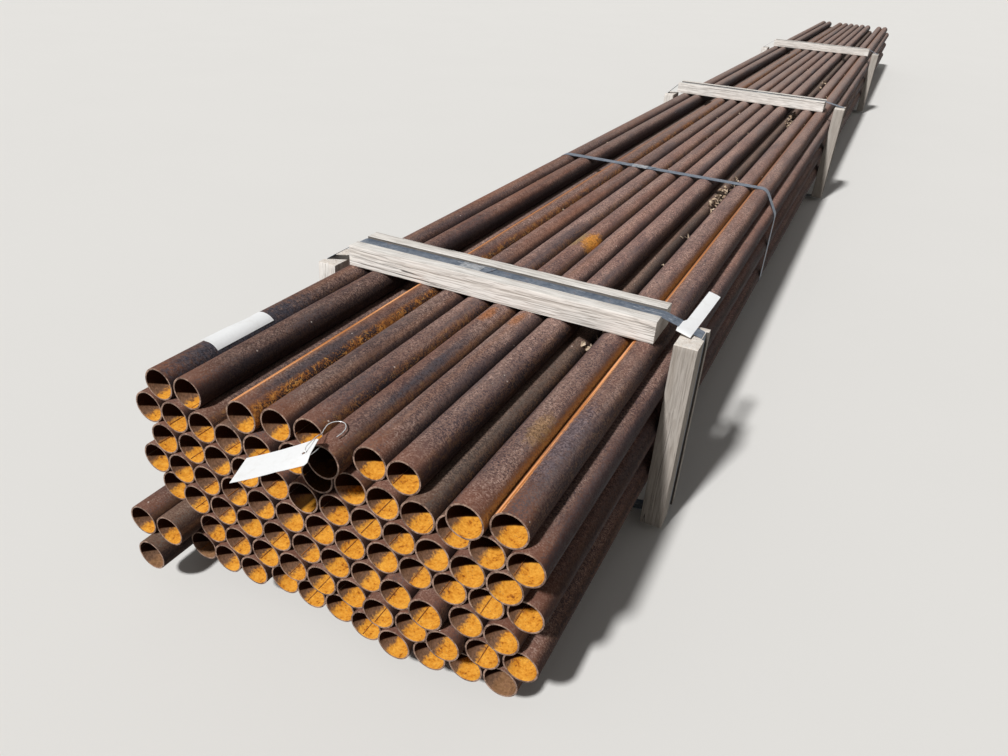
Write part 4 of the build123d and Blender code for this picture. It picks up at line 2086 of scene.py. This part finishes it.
@dataclass
class Papers:
    """The card tag, its wire, and the two paper labels.

    The tag's hole and the wire's route are metres from the mouth of the pipe they hang on.
    """

    lattice: Lattice
    hole: Vector = Vector((0.0019, -0.0384, 0.0407))
    hole_inset: float = 0.014
    hole_radius: float = 0.0038
    tag_along: Vector = Vector((-0.855, -0.310, -0.415))
    tag_face: Vector = Vector((-0.390, -0.141, 0.909))
    tag_length: float = 0.124
    tag_width: float = 0.060
    tag_thickness: float = 0.0006
    tag_corner: float = 0.004
    tag_curl: float = 0.0022
    tag_smooth: float = 35.0
    droop: float = 0.010
    droop_across: float = 0.15
    droop_along: float = 2.6
    wire_radius: float = 0.0008
    wire_smooth: float = 50.0
    wire_route: tuple[Triple, ...] = (
        (-0.0040, 0.0420, 0.0255),
        (-0.0030, 0.0020, 0.0255),
        (0.0000, -0.0140, 0.0280),
        (0.0045, -0.0325, 0.0345),
        (0.0062, -0.0405, 0.0415),
        (0.0030, -0.0370, 0.0475),
        (-0.0010, -0.0200, 0.0480),
        (-0.0060, 0.0000, 0.0440),
        (-0.0110, 0.0160, 0.0375),
        (-0.0180, 0.0320, 0.0350),
        (-0.0200, 0.0450, 0.0350),
        (-0.0140, 0.0560, 0.0350),
        (-0.0040, 0.0590, 0.0350),
        (0.0050, 0.0530, 0.0345),
        (0.0095, 0.0400, 0.0340),
        (0.0095, 0.0240, 0.0340),
    )

    def mouth(self) -> Vector:
        """The middle of the mouth of the pipe that the tag hangs on."""
        pipe = self.lattice.top_place(TAG_PIPE)
        return Vector((pipe.x, pipe.near, pipe.z))

    def tag(self) -> Piece:
        """The card tag, its corners clipped beside the hole, a little curled.

        Returns:
            The tag.
        """
        deselect_all()
        tag = new_grid(columns=28, rows=14)
        tag.scale = (self.tag_length, self.tag_width, 1.0)
        tag.location = (self.tag_length / 2 - self.hole_inset, 0, 0)
        settle(tag)
        start_edit(tag)
        for side in (-1, 1):
            pick_all()
            corner = Vector((self.tag_corner - self.hole_inset, side * self.tag_width / 2, 0))
            bpy.ops.mesh.bisect(plane_co=corner, plane_no=Vector((-1, side, 0)), clear_outer=True)
        end_edit()
        apply_modifier(tag, "SOLIDIFY", thickness=self.tag_thickness, offset=1.0)
        bpy.ops.mesh.primitive_cylinder_add(vertices=28, radius=self.hole_radius, depth=0.02)
        punch = bpy.context.object
        apply_modifier(tag, "BOOLEAN", object=punch, operation="DIFFERENCE", solver="EXACT")
        bpy.data.objects.remove(punch)
        for point in tag.data.vertices:
            share = (point.co.x + self.hole_inset) / self.tag_length
            corner = max(0.0, point.co.y / self.tag_width - self.droop_across)
            corner *= max(0.0, 1 - self.droop_along * share)
            point.co.z += self.tag_curl * ((2 * share - 1) ** 2 - 0.4) - self.droop * corner
        along = self.tag_along.normalized()
        face = self.tag_face.normalized()
        turn = Matrix((along, face.cross(along), face)).transposed().to_4x4()
        name_piece(tag, "card_tag")
        settle(tag, Matrix.Translation(self.mouth() + self.hole) @ turn)
        face_outwards(tag)
        smooth_faces(tag, self.tag_smooth)
        return tag

    def wire(self) -> Piece:
        """The wire hook: from the pipe's mouth through the tag's hole and round in an open loop.

        Returns:
            The wire.
        """
        deselect_all()
        bpy.ops.curve.primitive_bezier_curve_add()
        wire = bpy.context.object
        wire.data.dimensions = "3D"
        line = wire.data.splines[0]
        line.bezier_points.add(len(self.wire_route) - len(line.bezier_points))
        for point, place in zip(line.bezier_points, self.wire_route):
            point.co = place
            point.handle_left_type = "AUTO"
            point.handle_right_type = "AUTO"
        wire.data.bevel_depth = self.wire_radius
        wire.data.bevel_resolution = 3
        wire.data.resolution_u = 8
        wire.data.use_fill_caps = True
        take_up(wire)
        bpy.ops.object.convert(target="MESH")
        wire = bpy.context.object
        name_piece(wire, "bent_tag_wire")
        settle(wire, Matrix.Translation(self.mouth()))
        start_edit(wire)
        pick_all()
        bpy.ops.mesh.remove_doubles(threshold=SAME_POINT)
        turn_outwards()
        end_edit()
        smooth_faces(wire, self.wire_smooth)
        return wire

    def build(self, card: Material, paper: Material, wire: Material) -> None:
        """Build and dress the tag, the wire and the labels.

        Args:
            card: The tag's material.
            paper: The labels' material.
            wire: The wire's material.
        """
        tag = self.tag()
        tag.data.materials.append(card)
        hand_over(tag, Slot.CARD, "hang_tag")
        pipe_label = PipeLabel(self.lattice.rows[1][0], self.lattice.radius)
        for label, node in ((pipe_label, "pipe_label"), (BandLabel(), "band_label")):
            piece = label.model()
            piece.data.materials.append(paper)
            hand_over(piece, Slot.PAPER, node)
        hook = self.wire()
        hook.data.materials.append(wire)
        hand_over(hook, Slot.WIRE, "tag_wire")


@dataclass(frozen=True)
class Drift:
    """A drift of dry leaves in the slot of an empty place, metres behind the near ends."""

    slot: int
    start: float
    stop: float
    leaves: int
    smallest: float
    largest: float


@dataclass
class Litter:
    """Dry leaves, flakes and straw caught between the pipes of the top rows.

    A span gives the least and the most. Shapes are widths for each length, and strays are how far a
    turn may lie off the pipes' direction.
    """

    lattice: Lattice
    choose: random.Random = chance(5)
    thickness: float = 0.0003
    smooth_angle: float = 40.0
    bow: Span = (-0.35, 0.55)
    fold: Span = (0.1, 0.9)
    twist: Span = (-0.9, 0.9)
    raggedness: Span = (0.0, 9.0)
    tips: Span = (0.45, 0.75)
    leaf_shape: Span = (0.35, 0.65)
    leaf_stray: float = 1.2
    drifts: tuple[Drift, ...] = (
        Drift(RIGHT_SLOT, 1.70, 1.96, 60, 0.010, 0.022),
        Drift(RIGHT_SLOT, 2.02, 2.14, 10, 0.010, 0.020),
        Drift(RIGHT_SLOT, 3.30, 3.62, 34, 0.012, 0.026),
        Drift(RIGHT_SLOT, 1.36, 1.40, 3, 0.012, 0.020),
        Drift(RIGHT_SLOT, 1.14, 1.18, 2, 0.012, 0.018),
        Drift(RIGHT_SLOT, 0.58, 0.72, 8, 0.008, 0.016),
        Drift(LEFT_SLOT, 3.05, 3.25, 14, 0.010, 0.022),
        Drift(LEFT_SLOT, 1.55, 1.60, 3, 0.010, 0.016),
        Drift(RIGHT_SLOT, 4.60, 5.00, 12, 0.012, 0.024),
    )
    slot_sides: Span = (-0.017, 0.012)
    slot_lift: Span = (0.002, 0.008)
    flakes: int = 90
    flake_length: Span = (0.003, 0.009)
    flake_shape: Span = (0.4, 0.7)
    flake_room: float = 0.003
    flake_stray: float = 0.6
    flake_start: float = 0.9
    flake_stop: float = 9.2
    flake_crowd: float = 2.2
    flake_lift: float = 0.001
    straws: int = 12
    straw_length: Span = (0.020, 0.045)
    straw_width: Span = (0.0010, 0.0018)
    straw_reach: Span = (1.4, 5.5)
    straw_stray: float = 0.3

    def leaf(self, length: float, width: float) -> Piece:
        """Model one curled leaf, flake or straw at the origin.

        Args:
            length: Its length.
            width: Its width.

        Returns:
            The leaf.
        """
        leaf = new_grid(columns=6, rows=4)
        bow = self.choose.uniform(*self.bow)
        fold = self.choose.uniform(*self.fold)
        twist = self.choose.uniform(*self.twist)
        ragged = self.choose.uniform(*self.raggedness)
        for point in leaf.data.vertices:
            share = point.co.x * 2
            side = point.co.y * 2
            outline = max(0.06, 1 - abs(share) ** 2.2) * (1 + 0.22 * math.sin(7 * share + ragged))
            across = side * outline * width / 2
            lift = bow * length * 0.5 * (1 - share * share)
            lift += fold * abs(across) * 0.8 + twist * across * share
            point.co = Vector((share * length / 2, across, lift))
        paint_value(leaf, "leaf_age", self.choose.random())
        return leaf

    def groove_spot(self, width: float) -> Vector:
        """A spot in a groove between two pipes of the top row.

        Args:
            width: The flake's width, which sets how deep it falls.

        Returns:
            The spot.
        """
        row = self.lattice.rows[1]
        pairs = [(a, b) for a, b in zip(row, row[1:]) if b.number - a.number == 1]
        first, second = self.choose.choice(pairs)
        reach = (self.lattice.pitch - width) / 2
        height = math.sqrt(max(self.lattice.radius**2 - reach**2, 0.0))
        y = first.near + self.choose.triangular(self.flake_start, self.flake_stop, self.flake_crowd)
        return Vector(((first.x + second.x) / 2, y, first.z + height + self.flake_lift))

    def slot_spot(self, slot: int, start: float, stop: float) -> Vector:
        """A spot in the slot of an empty place, on the pipes below it.

        Args:
            slot: The empty place.
            start: Where the drift starts, behind the near ends.
            stop: Where it stops.

        Returns:
            The spot.
        """
        beside = self.lattice.top_place(slot - 1)
        x = beside.x + self.lattice.pitch + self.choose.uniform(*self.slot_sides)
        below = self.lattice.rows[2]
        nearest = min(below, key=lambda place: abs(place.x - x))
        height = math.sqrt(max(self.lattice.radius**2 - (x - nearest.x) ** 2, 0.0))
        y = beside.near + self.choose.uniform(start, stop)
        return Vector((x, y, nearest.z + height + self.choose.uniform(*self.slot_lift)))

    def lay(self, leaf: Piece, spot: Vector, stray: float) -> None:
        """Turn a leaf its own way and lay it on a spot.

        Args:
            leaf: The leaf.
            spot: Where it goes.
            stray: How far its turn may lie off the pipes' direction.
        """
        turn = Matrix.Rotation(math.pi / 2 + self.choose.gauss(0.0, stray), 4, "Z")
        tip = Matrix.Rotation(self.choose.gauss(0.0, self.tips[0]), 4, "Y")
        tip = tip @ Matrix.Rotation(self.choose.gauss(0.0, self.tips[1]), 4, "X")
        leaf.data.transform(Matrix.Translation(spot) @ turn @ tip)

    def build(self, material: Material) -> None:
        """Scatter the leaves, flakes and straws and join them.

        Args:
            material: The dry leaf material.
        """
        pieces = []
        deselect_all()
        for drift in self.drifts:
            for _ in range(drift.leaves):
                length = self.choose.uniform(drift.smallest, drift.largest)
                pieces.append(self.leaf(length, length * self.choose.uniform(*self.leaf_shape)))
                spot = self.slot_spot(drift.slot, drift.start, drift.stop)
                self.lay(pieces[-1], spot, self.leaf_stray)
        for _ in range(self.flakes):
            length = self.choose.uniform(*self.flake_length)
            width = length * self.choose.uniform(*self.flake_shape)
            pieces.append(self.leaf(length, width))
            spot = self.groove_spot(width + self.flake_room)
            self.lay(pieces[-1], spot, self.flake_stray)
        for _ in range(self.straws):
            length = self.choose.uniform(*self.straw_length)
            pieces.append(self.leaf(length, self.choose.uniform(*self.straw_width)))
            slot = self.choose.choice((LEFT_SLOT, RIGHT_SLOT, RIGHT_SLOT))
            self.lay(pieces[-1], self.slot_spot(slot, *self.straw_reach), self.straw_stray)
        litter = join_pieces(pieces, "leaf_litter")
        apply_modifier(litter, "SOLIDIFY", thickness=self.thickness, offset=0.0)
        smooth_faces(litter, self.smooth_angle)
        litter.data.materials.append(material)
        hand_over(litter, Slot.TIMBER)


@dataclass(frozen=True)
class Viewpoint:
    """The camera: beyond the near ends, above and to the right, looking down and left."""

    focal_pixels: float = 766.5
    picture_width: float = 1008.0
    sensor: float = 36.0
    across: float = 0.6356
    before_ends: float = 0.7396
    height: float = 1.0756
    look_down: float = math.radians(30.03)
    look_left: float = math.radians(24.33)
    tilt: float = math.radians(3.975)

    def build(self, ends: float) -> None:
        """Set the camera.

        Args:
            ends: Y of the plane the near ends stand at.
        """
        level = math.cos(self.look_down)
        aside = -math.sin(self.look_left) * level
        ahead = Vector((aside, math.cos(self.look_left) * level, -math.sin(self.look_down)))
        flat_right = Vector((math.cos(self.look_left), math.sin(self.look_left), 0.0))
        flat_up = flat_right.cross(ahead)
        right = flat_right * math.cos(self.tilt) + flat_up * math.sin(self.tilt)
        up = right.cross(ahead)
        lens = bpy.data.cameras.new("camera")
        lens.sensor_width = self.sensor
        lens.lens = self.focal_pixels * self.sensor / self.picture_width
        lens.clip_end = 200.0
        camera = bpy.data.objects.new("camera", lens)
        bpy.context.collection.objects.link(camera)
        turn = Matrix((right, up, -ahead)).transposed().to_4x4()
        camera.matrix_world = Matrix.Translation((self.across, ends - self.before_ends, self.height)) @ turn
        bpy.context.scene.camera = camera


@dataclass(frozen=True)
class Studio:
    """A pale floor under one broad soft lamp and an even white surround."""

    floor_size: float = 90.0
    floor_colour: Colour = (0.780, 0.765, 0.735)
    floor_shade: float = 0.97
    floor_bounce: Colour = (0.330, 0.320, 0.300)
    surround: Colour = (0.900, 0.895, 0.885)
    fill: float = 0.16
    key: float = 3.7
    key_softness: float = math.radians(5.0)
    key_travel: Triple = (0.136, 0.689, -0.711)

    def build(self) -> None:
        """Set the floor, the lamp and the surround."""
        deselect_all()
        bpy.ops.mesh.primitive_plane_add(size=self.floor_size, location=(0, 0, 0))
        floor = bpy.context.object
        floor.name = "floor"
        material, sheet, shader = surface_of("pale floor")
        tone = sheet.clouds(sheet.place(), 1.2, detail=3.0)
        low = tuple(channel * self.floor_shade for channel in self.floor_colour)
        shown = sheet.mix(tone, low, self.floor_colour)
        colour = sheet.mix(sheet.looked_at(), self.floor_bounce, shown)
        sheet.feed(shader.inputs["Base Color"], colour)
        shader.inputs["Roughness"].default_value = 0.95
        floor.data.materials.append(material)

        lamp = bpy.data.lights.new("key", "SUN")
        lamp.energy = self.key
        lamp.angle = self.key_softness
        holder = bpy.data.objects.new("key", lamp)
        holder.rotation_euler = Vector(self.key_travel).to_track_quat("-Z", "Y").to_euler()
        bpy.context.collection.objects.link(holder)

        world = bpy.data.worlds.new("surround")
        world.use_nodes = True
        bpy.context.scene.world = world
        sheet = Sheet(world.node_tree)
        light = world.node_tree.nodes["Background"]
        light.inputs["Color"].default_value = (*self.surround, 1.0)
        light.inputs["Strength"].default_value = self.fill
        seen = sheet.node("Background")
        seen.inputs["Color"].default_value = (*self.surround, 1.0)
        seen.inputs["Strength"].default_value = 1.0
        either = sheet.node("MixShader")
        sheet.feed(either.inputs[0], sheet.looked_at())
        sheet.feed(either.inputs[1], light.outputs[0])
        sheet.feed(either.inputs[2], seen.outputs[0])
        sheet.feed(world.node_tree.nodes["World Output"].inputs[0], either.outputs[0])
        bpy.context.scene.view_settings.view_transform = "Standard"


def main() -> None:
    """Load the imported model, build every finished piece, and light it."""
    logging.basicConfig(level=logging.INFO, format="%(name)s: %(message)s")
    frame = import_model()
    nodes = frame["nodes"]
    near_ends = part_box("top_bar_1")[0].y - FIRST_CRIB_SETBACK
    Viewpoint().build(near_ends)
    effects = SharedEffects()
    lattice = Lattice()
    lattice.read(nodes)
    length = lattice.pipe_length()
    pipe_materials = [
        RustedOutside(effects).build(near_ends),
        RustedInside(effects).build(length),
        CutRim(effects).build(),
        WeldBead(effects).build(length),
    ]
    Pipes(lattice).build(pipe_materials)
    Cribs().build(effects)
    seal_steel = BluedSteel("seal steel", effects, coat=(0.170, 0.185, 0.205), worn=(0.430, 0.445, 0.470))
    Strapping(lattice).build(BluedSteel("strapping steel", effects).build(), seal_steel.build())
    Papers(lattice).build(
        PlainPaper("tag card", effects).build(),
        PlainPaper("label paper", effects).build(),
        DrawnWire(effects).build(),
    )
    Litter(lattice).build(DryLeaf(effects).build())
    Studio().build()


if __name__ == "__main__":
    main()
